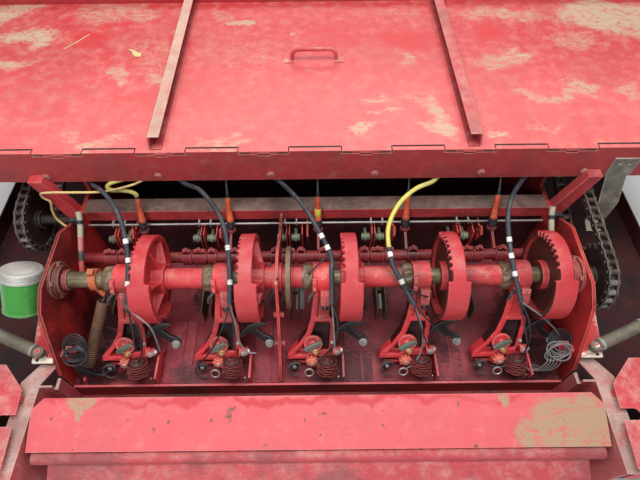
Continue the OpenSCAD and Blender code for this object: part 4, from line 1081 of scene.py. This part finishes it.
lever_outline = rounded_outline([
    (46, 152), (66, 127), (90, 117), (112, 122), (98, 131), (88, 136), (104, 154), (124, 164),
    (131, 184), (117, 194), (106, 176), (84, 161), (68, 148), (46, 163),
])
finger_outline = rounded_outline([
    (-33, 190), (-20, 178), (-4, 170), (8, 167), (13, 173), (5, 180), (-6, 185), (-17, 194),
    (-28, 196),
])
upright_outline = [(-428, -75), (-330, -75), (-368, -121), (-428, -121)]
lying = Matrix.Rotation(math.radians(90), 4, "X")
swapped = Matrix(((0, 1, 0, 0), (1, 0, 0, 0), (0, 0, 1, 0), (0, 0, 0, 1)))
front, upwards = (0, -1, 0), (0, 0, 1)
head_finishes = (
    casting_paint, black_lever, orange_star, disc_steel, worn_steel, finger_steel, brass_and_glint,
)
red, black, star, dark, steel, finger, yellow = range(len(head_finishes))
for number in knotters:
    place = knotter_place(number)
    head = bmesh.new()
    # The round plate with its steel finger, and a thin spike in pale brass whose colour paints a
    # glint
    lathe(head, place, red, [
        (0.0, 0.024), (0.0045, 0.024), (0.0056, 0.0232), (0.0056, 0.0212), (0.0042, 0.0202),
        (0.0042, 0.0072), (0.0068, 0.006), (0.0068, 0.0),
    ], (-0.010, -0.0235, -0.178), front, 40)
    lay_in(head, blank(finger_outline, -0.030, -0.037, 0.0014), finger, place)
    tube_in(head, place, yellow, [(11, -38, -173), (5, -39, -164), (0, -40, -154)], 3, 0.0011)
    # The star pinion with its nut, and the collar above it
    lay_in(head, blank(toothed(-13, 226, 16, 11.5, 9, 0.2), -0.028, -0.041, 0.0012), star, place)
    lathe(head, place, star, [(0, 0.0095), (0.004, 0.0085), (0.0045, 0.006)],
          (-0.013, -0.041, -0.226), front)
    bolt_in(head, place, steel, (-0.013, -0.0445, -0.226), front, 0.005, 0.004, 0)
    lathe(head, place, yellow, [
        (0, 0.0085), (0.005, 0.0085), (0.006, 0.007), (0.006, 0.005), (0.012, 0.005),
        (0.0125, 0.004),
    ], (-0.004, -0.028, -0.200), front, 8)
    # The dark gear on its pin, inside a hooked guard
    lay_in(head, blank(toothed(-59, 246, 13.5, 10.5, 15), -0.024, -0.032), black, place)
    lathe(head, place, steel, [(-0.010, 0.005), (0.003, 0.005), (0.004, 0.0038)],
          (-0.059, -0.032, -0.246), front, 16)
    lay_in(head, blank(oblong(-63, 243, -17, 249), -0.005, -0.013), red, place)
    hook = []
    for degrees in range(50, 301, 25):
        a = math.radians(degrees)
        hook.append((-56 + 19 * math.cos(a), -35 - degrees / 50, -250 + 19 * math.sin(a)))
    tube_in(head, place, black, hook, 3, 0.0023)
    # The stack of notched twine discs, and the ring that all but the first knotter have
    for layer in range(5):
        low = -0.2435 + layer * 0.0070
        rim = 28 - layer * 0.7
        notched = toothed(24, -53, rim, rim - 1.8, 7, 0.35 * layer + number)
        lay_in(head, blank(notched, low, low + 0.0030, 0.0005), dark, place @ lying)
        lathe(head, place, black, [(0.0, 0.014), (0.0042, 0.013)],
              (0.024, -0.053, low + 0.0029), upwards)
    lathe(head, place, dark, [
        (0.0, 0.012), (0.004, 0.012), (0.006, 0.009), (0.006, 0.006), (0.011, 0.006),
        (0.012, 0.0045),
    ], (0.024, -0.053, -0.2125), upwards, 16)
    if number > 1:
        ring = [
            (-21 + 11 * math.cos(a), -56, -246 + 11 * math.sin(a))
            for a in (2 * math.pi * i / 24 for i in range(24))
        ]
        tube_in(head, place, steel, ring + ring[:1], 1, 0.0017)
        lathe(head, place, dark, [(0, 0.010), (0.006, 0.008)], (-0.021, -0.050, -0.246), front, 16)
    # The bush with its pin, the wavy lever with its bolt, the nipple
    lathe(head, place, red, [
        (0, 0.0135), (0.005, 0.0135), (0.006, 0.011), (0.019, 0.011), (0.020, 0.009),
    ], (0.040, -0.020, -0.204), (1, 0, 0), 28)
    bolt_in(head, place, steel, (0.0595, -0.020, -0.204), (1, 0, 0), 0.0065, 0.0065, 0.0085)
    bolt_in(head, place, steel, (0.050, -0.030, -0.204), front, 0.006, 0.005, 0.0075)
    lay_in(head, blank(lever_outline, -0.010, -0.019, 0.0016), black, place)
    bolt_in(head, place, steel, (0.118, -0.019, -0.180), front, 0.0088, 0.009, 0.0105)
    lathe(head, place, steel, [(-0.009, 0.0072), (0, 0.0072)], (0.118, -0.001, -0.180), front, 16)
    lathe(head, place, steel, [
        (0, 0.0046), (0.003, 0.0046), (0.0034, 0.0028), (0.0058, 0.0036), (0.0080, 0.0012),
    ], (0.038, -0.023, -0.176), front, 12)
    # The upright plate beside the discs and a thin pin that stands by it
    shift = Matrix.Translation((knotter_x(number), 0, 0))
    lay_in(head, blank(upright_outline, 0.064, 0.069, 0.0009), red, shift @ swapped)
    lathe(head, shift, steel, [(0, 0.0024), (0.034, 0.0024), (0.036, 0.0012)],
          (0.054, -0.424, 0.0755), upwards, 10)
    piece_from(head, "knotter_head_parts_%d" % number, "greasy_steel", *head_finishes,
               nodes=("knotter_head_%d" % number,))

    # The hub is split and drawn together by two bolts; a square block hangs from it
    hub = bmesh.new()
    red, pink, dark_stub = range(3)
    lay_in(hub, blank(oblong(-9, -17, 0, 17), -0.030, -0.0445, 0.0016), red, place)
    lay_in(hub, blank(oblong(10, 16, 31, 54), -0.030, -0.046, 0.0014), pink, place)
    for up in (0.009, -0.009):
        bolt_in(hub, place, red, (-0.0045, -0.0445, up), front, 0.0044, 0.004, 0)
    for x in (0.015, 0.026):
        bolt_in(hub, place, red, (x, -0.046, -0.024), front, 0.0042, 0.0036, 0)
    lathe(hub, place, dark_stub, [(0, 0.008), (0.004, 0.0085), (0.009, 0.006), (0.010, 0.003)],
          (0.020, -0.040, -0.060), (0.1, -0.5, -0.8), 12)
    tube_in(hub, place, dark_stub,
            [(-6, -38, -20), (-12, -44, -24), (-18, -46, -32), (-20, -44, -42)], 4, 0.0042, 10)
    piece_from(hub, "knotter_hub_parts_%d" % number, "red_casting", casting_paint, bearing_pink,
               black_lever)

# ---- Cross tube, clamps and guides ----
# A tube behind the shaft with two-bolt clamps, the twine rollers in their plates, the
# pierced guide brackets and the thin guide rod with its clips.

roller_metal = painted(
    "roller_metal", (98, 112, 88), (146, 152, 130), (150, 134, 110), (190, 192, 180),
    (0.8, 0.3, 0.8, 0.5, 0.55), grime=(44, 34, 28), metallic=0.2,
)
tube_paint = painted(
    "tube_paint", (134, 32, 38), (162, 58, 62), (150, 112, 98), (206, 116, 108),
    (0.6, 0.25, 0.8, 0.7, 0.55), grime=(40, 20, 18),
)
dress("cross_tube", "red_paint", tube_paint, edge=0)
dress("tube_clamps", "red_casting", tube_paint, edge=0.0008)
dress("twine_rollers", "roller_metal", roller_metal, edge=0.0008)
dress("twine_guides", "red_paint", wall_paint, edge=0.0006)
dress("guide_rod", "plain_steel", worn_steel, edge=0)

# ---- Nozzles ----
# Orange-red tapered tubes on brackets behind the shaft, each with a black clamp near its
# lower end and a thin hose from its top up under the beam. The third wears yellow tape.

nozzle_red = painted(
    "nozzle_red", (204, 76, 44), (226, 112, 76), (196, 150, 120), (236, 170, 140),
    (0.6, 0.25, 0.5, 0.5, 0.55), grime=(60, 36, 28),
)
clamp_black = painted(
    "clamp_black", (30, 28, 30), (56, 52, 54), (110, 94, 84), (110, 106, 104),
    (0.6, 0.2, 0.6, 0.4, 0.6), grime=(14, 12, 12),
)
yellow_tape = painted(
    "yellow_tape", (206, 190, 60), (226, 212, 104), (186, 166, 120), (236, 226, 150),
    (0.7, 0.25, 0.4, 0.5, 0.5), grime=(90, 74, 40),
)
low_end = Vector((0.006, -0.046, 0.262))
top_end = Vector((0.006, -0.014, 0.334))
nozzle_run = (top_end - low_end).length
nozzle_axis = (top_end - low_end).normalized()
taped = 3
nozzles, fittings, tape = [bmesh.new() for _ in range(3)]
for number in knotters:
    shift = Vector((knotter_x(number), 0, 0))
    base = low_end + shift
    turned(nozzles, [
        (0.0, 0.0088), (0.010, 0.0092), (0.011, 0.0099), (0.016, 0.0099), (0.0175, 0.0090),
        (0.060, 0.0067), (0.062, 0.0074), (0.070, 0.0072), (nozzle_run, 0.0058),
    ], base, nozzle_axis)
    turned(fittings, [
        (0.001, 0.0104), (0.0015, 0.0112), (0.0085, 0.0112), (0.009, 0.0104),
    ], base, nozzle_axis)
    turned(fittings, [
        (0.0, 0.0120), (0.006, 0.0120), (0.0062, 0.0096), (0.0172, 0.0096),
    ], base, (0, -0.007, -0.0157), 6)
    turned(fittings, [
        (-0.004, 0.0046), (0.0158, 0.0040), (0.0158, 0.0026),
    ], top_end + shift, (0, 0.0064, 0.0144), 16)
    if number == taped:
        turned(tape, [
            (0.022, 0.0092), (0.023, 0.0098), (0.042, 0.0088), (0.043, 0.0078),
        ], base, nozzle_axis)
piece_from(nozzles, "nozzle_tubes", "nozzle_paint", nozzle_red, nodes=("nozzles",))
piece_from(fittings, "nozzle_fittings", "line_plastic", clamp_black)
piece_from(tape, "nozzle_tape", "nozzle_paint", yellow_tape)

# ---- Lines ----
# Twine and grease lines run in wrapped bundles from under the beam to each knotter, held
# by white tape, and split into thin lines there. One bundle is a yellow corrugated hose.

hose_wrap = painted(
    "hose_wrap", (34, 38, 45), (66, 74, 84), (120, 112, 106), (130, 140, 150),
    (0.8, 0.3, 0.3, 0.5, 0.45), grime=(24, 24, 28), bump=0.5,
)
white_tape = painted(
    "white_tape", (222, 222, 214), (238, 238, 232), (190, 176, 158), (240, 240, 236),
    (0.7, 0.25, 0.2, 0.5, 0.45), grime=(120, 108, 96),
)
yellow_hose = painted(
    "yellow_hose", (206, 198, 84), (226, 220, 130), (190, 178, 130), (236, 232, 170),
    (0.7, 0.25, 0.3, 0.5, 0.5), grime=(90, 80, 44),
)
cream_plastic = painted(
    "cream_plastic", (206, 180, 104), (222, 204, 150), (180, 160, 130), (226, 216, 180),
    (0.8, 0.3, 0.3, 0.7, 0.4), grime=(120, 66, 34),
)
worn_line = painted(
    "worn_line", (96, 94, 94), (150, 148, 146), (150, 138, 126), (180, 178, 174),
    (0.9, 0.3, 0.3, 0.4, 0.7), grime=(36, 32, 32),
)
black_line = painted(
    "black_line", (26, 26, 30), (60, 62, 68), (110, 104, 98), (90, 90, 94),
    (0.6, 0.2, 0.2, 0.4, 0.7), grime=(14, 13, 13),
)

# Each bundle's route, its bands as shares of its length, and its thin lines, in mm
bundles = [
    ([(-112, 18, 376), (-96, -4, 378), (-62, -36, 396), (-20, -84, 398), (10, -138, 385),
      (30, -208, 358), (36, -258, 342), (36, -316, 312)], (0.62, 0.74, 0.88),
     [[(36, -316, 312), (52, -344, 290), (60, -368, 246), (52, -384, 203), (32, -398, 156),
       (9, -412, 122), (-12, -412, 108)],
      [(36, -316, 312), (52, -338, 322), (76, -356, 326), (98, -370, 300), (97, -380, 232),
       (94, -384, 196)],
      [(36, -316, 312), (38, -352, 256), (38, -384, 214), (38, -380, 186)]]),
    ([(-122, 18, 376), (-92, -6, 379), (-50, -42, 398), (0, -109, 397), (24, -168, 382),
      (36, -253, 345), (36, -316, 312)], (0.68, 0.88),
     [[(36, -316, 312), (24, -346, 284), (-9, -373, 212), (-40, -388, 162), (-66, -398, 134)],
      [(36, -316, 312), (47, -350, 272), (50, -369, 215), (66, -384, 184), (88, -386, 180)],
      [(36, -312, 318), (81, -307, 292), (109, -304, 288), (135, -296, 316), (148, -268, 346)],
      [(36, -316, 312), (40, -352, 250), (38, -384, 210), (38, -380, 186)]]),
    ([(-108, 18, 376), (-84, -8, 379), (-43, -78, 402), (-9, -129, 388), (34, -212, 358),
      (36, -258, 342), (36, -318, 308)], (0.58, 0.66),
     [[(36, -318, 308), (48, -350, 284), (46, -374, 228), (20, -392, 178), (0, -400, 160)],
      [(36, -318, 308), (40, -352, 255), (42, -384, 214), (38, -380, 186)],
      [(30, -208, 360), (14, -226, 352), (-6, -244, 346), (-18, -256, 345), (-14, -262, 352)]]),
    ([(84, 18, 376), (62, -6, 380), (9, -48, 400), (-38, -98, 400), (-67, -162, 385),
      (-62, -239, 360), (-44, -271, 342), (-12, -322, 308)], (0.70, 0.86),
     [[(-12, -322, 308), (34, -340, 248), (75, -352, 204), (104, -352, 184), (116, -352, 180)],
      [(-12, -322, 308), (12, -359, 250), (19, -380, 186), (8, -400, 140), (-14, -410, 122)],
      [(-40, -292, 348), (-14, -300, 330), (14, -300, 308), (24, -296, 296)],
      [(-12, -322, 308), (6, -354, 262), (28, -384, 214), (38, -380, 186)]]),
    ([(74, 18, 376), (54, -6, 379), (7, -74, 405), (-15, -128, 396), (-20, -200, 372),
      (-14, -262, 344), (-2, -318, 310)], (0.62, 0.72, 0.83),
     [[(-2, -318, 310), (22, -348, 272), (38, -374, 216), (30, -396, 158), (-4, -408, 128),
       (-44, -408, 132)],
      [(-2, -318, 310), (52, -338, 276), (100, -348, 226), (126, -352, 190)],
      [(-2, -318, 310), (14, -352, 262), (30, -384, 214), (38, -380, 186)]]),
]
yellow_bundle, yellow_share = 4, 0.66


def corrugated_radius(mean):
    return lambda run: mean + 0.0007 * math.sin(run * 2 * math.pi / 0.0042)


wrapped, bands, corrugated, thin, pale = [bmesh.new() for _ in range(5)]
for number, (route, shares, branches) in enumerate(bundles, 1):
    shift = Matrix.Translation((knotter_x(number), 0, 0))
    path = [shift @ p for p in eased(route)]
    whole = run_of(path)[-1]
    black_from = 0.0
    if number == yellow_bundle:
        black_from = whole * yellow_share
        first_stretch = part_of(path, 0.0009, stop=black_from)
        tube(corrugated, first_stretch, corrugated_radius(0.0052), 14)
    tube(wrapped, part_of(path, 0.0011, black_from),
         lambda run: 0.0056 + 0.00035 * abs(math.sin(run * math.pi / 0.0075)), 14)
    for middle in (whole * share for share in shares):
        tube(bands, part_of(path, 0.002, middle - 0.006, middle + 0.006), 0.0064, 16)
    for turn, points in enumerate(branches):
        branch = part_of([shift @ p for p in eased(points)], 0.003)
        tube(pale if turn == 1 else thin, branch, 0.0021, 8)
piece_from(wrapped, "line_bundles_wrapped", "hose_plastic", hose_wrap, nodes=("line_bundles",))
piece_from(corrugated, "line_bundle_yellow", "hose_plastic", yellow_hose)
piece_from(bands, "line_bundle_bands", "hose_plastic", white_tape)
piece_from(thin, "line_branches", "line_plastic", black_line)
piece_from(pale, "line_branches_worn", "line_plastic", worn_line)
elbow, cream, nozzle_hoses = [bmesh.new() for _ in range(3)]
tube(elbow, part_of(eased([
    (-474, -11, 343), (-474, -12, 352), (-484, -14, 364), (-506, -16, 371), (-530, -14, 370),
    (-540, -8, 376), (-528, 0, 383), (-500, 8, 386), (-474, 16, 388),
]), 0.0009), corrugated_radius(0.0054), 14)
piece_from(elbow, "nozzle_elbow", "hose_plastic", yellow_hose)
tube(cream, eased([
    (-430, 16, 392), (-450, 2, 387), (-480, -12, 384), (-540, -30, 384), (-610, -34, 386),
    (-670, -34, 387), (-700, -34, 383), (-702, -34, 366), (-690, -36, 352), (-700, -38, 318),
    (-702, -40, 280), (-680, -46, 246), (-655, -52, 236), (-642, -54, 234),
]), 0.0030, 10)
piece_from(cream, "cream_line", "line_plastic", cream_plastic)
for number in knotters[1:]:
    shift = Vector((knotter_x(number), 0, 0))
    points = eased([(6, -8, 347), (6, 2, 362), (6, 12, 376), (6, 16, 386)])
    tube(nozzle_hoses, [p + shift for p in points], 0.0026, 10)
piece_from(nozzle_hoses, "nozzle_hoses", "hose_plastic", hose_wrap)

# ---- Upright hoses ----
# A short hose stands by each wall, faded in bands from pale at the top to red at the
# bottom, and is held in two black clips.

upright_bands = [
    (low, high, painted("band_" + tint, paint, faded, (200, 178, 154), (226, 160, 154),
                        (0.5, 0.5, 0.5, 0.3, 0.4)))
    for low, high, tint, paint, faded in (
        (0.00, 0.30, "pale", (176, 176, 150), (196, 190, 170)),
        (0.30, 0.46, "pink", (206, 96, 96), (222, 130, 124)),
        (0.46, 0.58, "green", (52, 66, 62), (84, 92, 84)),
        (0.58, 1.00, "red", (190, 50, 54), (210, 80, 80)),
    )
]
for side, hand in (("left", -1), ("right", 1)):
    path = eased([
        (hand * 613, -64, 344), (hand * 612, -82, 324), (hand * 612, -140, 280),
        (hand * 612, -188, 240), (hand * 611, -196, 214), (hand * 611, -192, 186),
    ])
    whole = run_of(path)[-1]
    upright = bmesh.new()
    for index, (low, high, finish) in enumerate(upright_bands):
        part = bmesh.new()
        band = part_of(path, 0.004, whole * low, whole * high - 0.0002)
        tube(part, band, 0.0074 - 0.0001 * index, 14)
        lay_in(upright, part, index)
    piece_from(upright, "upright_hose_" + side, "hose_plastic", *(f for _, _, f in upright_bands))
    clips = bmesh.new()
    for share in (0.10, 0.82):
        a, b = part_of(path, 0.010, whole * share, whole * share + 0.010)[:2]
        tube(clips, [a, b], 0.0090, 16)
        x, y, z = hand * 627.5, a.y * 1000, a.z * 1000
        slab(clips, (x - 7.5, y - 6, z - 6), (x + 7.5, y + 6, z + 6))
    piece_from(clips, "upright_hose_clips_" + side, "plain_steel", clamp_black)

# ---- Bearings and centre support ----
# Flange bearings with four bolts carry the shaft at the walls; a thin upright plate with
# spacers carries it beside the third knotter.

bearing_paint = painted(
    "bearing_paint", (150, 40, 44), (186, 76, 78), (160, 130, 110), (210, 170, 156),
    (0.6, 0.3, 0.8, 0.8, 0.5), grime=(54, 38, 28),
)
for side in ("left", "right"):
    dress("bearing_" + side, "red_casting", bearing_paint, edge=0.0009)
dress("centre_support", "red_casting", sleeve_paint, edge=0.0009)

# ---- Extension spring ----
# A rusty wire coil from the clamp on the shaft guard down to the lug of the front rail,
# with a hook at each end.

rust = painted(
    "spring_rust", (88, 56, 38), (126, 88, 62), (150, 122, 94), (150, 120, 104),
    (0.9, 0.25, 0.5, 0.6, 0.4), grime=(44, 28, 20), bump=0.5,
)
clamp_rust = painted(
    "clamp_rust", (168, 70, 40), (214, 120, 70), (206, 160, 110), (214, 160, 130),
    (0.8, 0.25, 0.6, 0.5, 0.4), grime=(60, 36, 26), bump=0.5,
)
spring_top = Vector((-0.527, -0.262, 0.262))
spring_low = Vector((-0.600, -0.402, 0.096))
spring_axis = (spring_low - spring_top).normalized()
spring_run = (spring_low - spring_top).length
side = spring_axis.orthogonal().normalized()
other = spring_axis.cross(side)
coils, steps, wire, coil_radius = 36, 16, 0.0023, 0.0150
path = [spring_top + spring_axis * 0.002]
for i in range(coils * steps + 1):
    share = i / (coils * steps)
    angle = 2 * math.pi * i / steps
    radius = (coil_radius - wire) * min(1.0, i / 12, (coils * steps - i) / 12)
    path.append(
        spring_top + spring_axis * (0.018 + share ** 1.22 * (spring_run - 0.036))
        + (side * math.cos(angle) + other * math.sin(angle)) * radius
    )
path.append(spring_low - spring_axis * 0.002)
bm = bmesh.new()
tube(bm, path, wire, 8)
piece_from(bm, "tension_spring_coil", "greasy_steel", rust, nodes=("tension_spring",), angle=60)
dress("spring_clamp", "red_casting", clamp_rust, edge=0.0008)

# ---- Gas struts ----
# A dusty grey cylinder on an upright pin at each side, a bright rod with an eye, and the
# red sheet bracket with its worn white foot that carries the pin.

bracket_paint = smeared(
    "bracket_paint", rgb(196, 46, 50), rgb(212, 84, 82),
    [(-668, -408, 40, 10, 1.7), (668, -408, 40, 10, 1.7), (-690, -330, 10, 40, 0.5),
     (690, -330, 10, 40, 0.5)],
    [(660, -350, 24, 26, 0.8), (-660, -350, 24, 26, 0.8)],
    rgb(220, 214, 196), rgb(190, 40, 44), gloss=0.4, warp=0.008, streak=(160, 160, 160),
    Dust=rgb(190, 130, 118), Bare=rgb(240, 206, 196), Grime=rgb(70, 44, 38), Fading=0.6,
    Dusting=0.08, Wear=1.0, Soiling=0.4,
)
strut_cap = painted(
    "strut_cap", (150, 146, 130), (186, 182, 168), (170, 158, 134), (210, 208, 198),
    (0.8, 0.3, 0.8, 0.5, 0.55), grime=(60, 50, 42), metallic=0.2,
)
strut_grey = painted(
    "strut_grey", (82, 78, 66), (116, 110, 94), (140, 128, 106), (170, 166, 154),
    (0.8, 0.35, 0.6, 0.4, 0.55), grime=(40, 34, 28),
)
for side, hand in (("left", -1), ("right", 1)):
    dress("strut_bracket_" + side, "red_paint", bracket_paint, edge=0.0008)
    dress("gas_cylinder_" + side, "plain_steel", strut_grey, edge=0.0018)
    dress("gas_rod_" + side, "plain_steel", worn_steel, edge=0.0005)
    pin = Vector((hand * 0.664, -0.398, 0.226))
    run = Vector((hand * 0.92, 0.36, 0.16)).normalized()
    caps = bmesh.new()
    turned(caps, [(0.0130, 0.0120), (0.0145, 0.0154), (0.0190, 0.0154), (0.0200, 0.0150)],
           pin, run, 28)
    turned(caps, [(0.1240, 0.0150), (0.1250, 0.0158), (0.1300, 0.0158), (0.1328, 0.0140),
                  (0.1336, 0.0110), (0.1330, 0.0080)], pin, run, 32)
    piece_from(caps, "strut_caps_" + side, "plain_steel", strut_cap, body="cylinder_" + side)

# ---- Grease distributors ----
# A red block at each wall, with a bundle of thin lines coiled over it and a few tails
# that hang to the table.


def block_finish(c, n):
    """Red on the block's own six faces, black on the line ends in it."""
    inside = abs(c.x) > 0.5985 and 0.1495 < c.z < 0.1845 and -0.3915 < c.y < -0.3645
    return 0 if inside and max(abs(n.x), abs(n.y), abs(n.z)) > 0.99 else 1


for side in ("left", "right"):
    dress("distributor_" + side, "red_casting", casting_paint, black_line, edge=0.0006,
          choose=block_finish)

random.seed(23)
for side, hand in (("left", -1), ("right", 1)):
    loops = bmesh.new()
    for i in range(9):
        wide, tall = 0.0150 + 0.0018 * i, 0.0120 + 0.0014 * i
        middle = Vector((
            hand * (0.5985 - 0.0022 * i + random.uniform(-0.003, 0.003)),
            -0.382 - 0.0030 * i, 0.196 + 0.0022 * i + random.uniform(-0.003, 0.003),
        ))
        tip = math.radians(54 + random.uniform(-26, 20))
        up = Vector((hand * random.uniform(-0.5, 0.3), math.cos(tip), math.sin(tip)))
        points = []
        for j in range(25):
            angle = 2 * math.pi * j / 24 + 0.4 * i
            sway = 1 + 0.09 * math.sin(2 * angle + 2.3 * i)
            points.append(1000 * (
                middle + Vector((math.cos(angle) * wide * sway, 0, 0))
                + up * (math.sin(angle) * tall * sway)
            ))
        tube(loops, eased(points, 2), 0.0016, 7)
    for i in range(5):
        x = hand * (600 - 7 * i)
        tube(loops, eased([
            (x, -380, 176), (x + hand * 4, -398, 172 - 3 * i), (x + hand * 8 - i * 2, -410, 150),
            (x - hand * (2 + 4 * i), -416, 124 - 2 * i),
            (x - hand * (20 + 3 * i), -412, 104 + 3 * i),
            (x - hand * (28 + i), -400, 92 + 5 * i), (x - hand * 12, -390, 80 + 4 * i),
        ], 5), 0.0016, 7)
    piece_from(loops, "grease_line_loops_" + side, "line_plastic",
               black_line if hand < 0 else worn_line)

# ---- Grease reservoir ----
# A green enamelled can that leans back on its bracket, with a dull aluminium screw cap
# and a bead round its foot.

green_enamel = painted(
    "green_enamel", (62, 138, 58), (84, 158, 74), (150, 170, 120), (190, 204, 170),
    (0.5, 0.1, 0.4, 0.3, 1), grime=(34, 60, 28), bump=0.05,
)
cap_alloy = painted(
    "cap_alloy", (172, 172, 164), (204, 204, 198), (196, 184, 160), (226, 226, 222),
    (0.8, 0.35, 0.6, 0.3, 0.6), grime=(80, 72, 60), metallic=0.4,
)
dress("reservoir", "green_paint", green_enamel, edge=0.002)
can_place = (
    Matrix.Translation((-0.716, -0.300, 0.262)) @ Matrix.Rotation(math.radians(11), 4, "Y")
    @ Matrix.Rotation(math.radians(-36), 4, "X")
)
cap = bmesh.new()
turned(cap, [
    (0.0835, 0.0462), (0.0840, 0.0478), (0.0890, 0.0480), (0.0895, 0.0474), (0.0905, 0.0474),
    (0.0910, 0.0480), (0.1035, 0.0480), (0.1070, 0.0470), (0.1092, 0.0442), (0.1100, 0.0405),
    (0.1098, 0.0385), (0.1118, 0.0355), (0.1150, 0.0270), (0.1170, 0.0160), (0.1179, 0.0060),
    (0.1180, 0.0),
], (0, 0, 0), (0, 0, 1), 56)
cap.transform(can_place)
piece_from(cap, "reservoir_screw_cap", "cap_metal", cap_alloy, nodes=("reservoir_cap",), angle=50)
beads = bmesh.new()
turned(beads, [(0.0010, 0.0438), (0.0020, 0.0456), (0.0050, 0.0456), (0.0060, 0.0440)],
       (0, 0, 0), (0, 0, 1), 56)
beads.transform(can_place)
piece_from(beads, "reservoir_bead", "green_paint", green_enamel)

# ---- Drive chains ----
# A roller chain on two sprockets outside each wall, oiled and dark, with a painted highlight:
# the rollers low on the loop are painted bright, where the light reaches them.

chain_oil = painted(
    "chain_oil", (40, 34, 32), (86, 74, 66), (130, 110, 90), (170, 160, 150),
    (0.8, 0.25, 0.9, 0.5, 0.65), grime=(18, 14, 12), metallic=0.3,
)
# Painted highlight: bright steel for the rollers below a height on each chain
painted_roller_highlight = painted(
    "painted_roller_highlight", (150, 144, 136), (190, 186, 180), (120, 104, 88), (230, 228, 224),
    (0.8, 0.1, 0.6, 0.5, 0.9), grime=(36, 30, 26), metallic=0.7,
)
link_pitch, small_teeth, big_teeth = 0.0254, 12, 20
small_hub, big_hub = Vector((0.150, 0.303)), Vector((-0.206, 0.233))
small_r, big_r = (link_pitch / (2 * math.sin(math.pi / n)) for n in (small_teeth, big_teeth))
span = small_hub - big_hub
tilt = math.atan2(span.y, span.x)
wrap = math.asin((big_r - small_r) / span.length)
straight = span.length * math.cos(wrap)
over_small = small_r * (math.pi - 2 * wrap)
over_big = big_r * (math.pi + 2 * wrap)
loop_length = 2 * straight + over_small + over_big
links = 2 * round(loop_length / link_pitch / 2)


def loop_at(s):
    """The point at a distance along the chain's loop round both wheels, as y and z."""
    def polar(r, a):
        return Vector((r * math.cos(a), r * math.sin(a)))
    up = tilt + math.pi / 2 - wrap
    if s < straight:
        return big_hub + polar(big_r, up) + polar(s, tilt - wrap)
    if s < straight + over_small:
        return small_hub + polar(small_r, up - (s - straight) / small_r)
    down = tilt - math.pi / 2 + wrap
    if s < 2 * straight + over_small:
        return small_hub + polar(small_r, down) - polar(s - straight - over_small, tilt + wrap)
    return big_hub + polar(big_r, down - (s - 2 * straight - over_small) / big_r)


# The left chain stands further out and further back; rollers below a height get the painted
# highlight
chain_x = 0.722
for side, hand, shift, highlight_below in (
    ("left", -1, (0.066, 0.200, 0.004), 0.260), ("right", 1, (0, 0, 0), 0.300),
):
    dress("chain_drive_" + side, "chain_steel", chain_oil, edge=0)
    rollers, pins = bmesh.new(), bmesh.new()
    x = hand * (chain_x + shift[0])
    for i in range(links):
        y, z = loop_at(i * loop_length / links)
        at = (x, y + shift[1], z + shift[2])
        before = len(rollers.faces)
        turned(rollers, [(-0.0086, 0.0070), (-0.0080, 0.0080), (0.0080, 0.0080), (0.0086, 0.0070)],
               at, (1, 0, 0), 14)
        turned(pins, [(-0.0150, 0.0028), (-0.0143, 0.0038), (0.0143, 0.0038), (0.0150, 0.0028)],
               at, (1, 0, 0), 10)
        if z < highlight_below:
            rollers.faces.ensure_lookup_table()
            for face in rollers.faces[before:]:
                face.material_index = 1
    piece_from(rollers, "chain_rollers_" + side, "chain_steel", chain_oil, painted_roller_highlight)
    piece_from(pins, "chain_pins_" + side, "chain_steel", chain_oil)
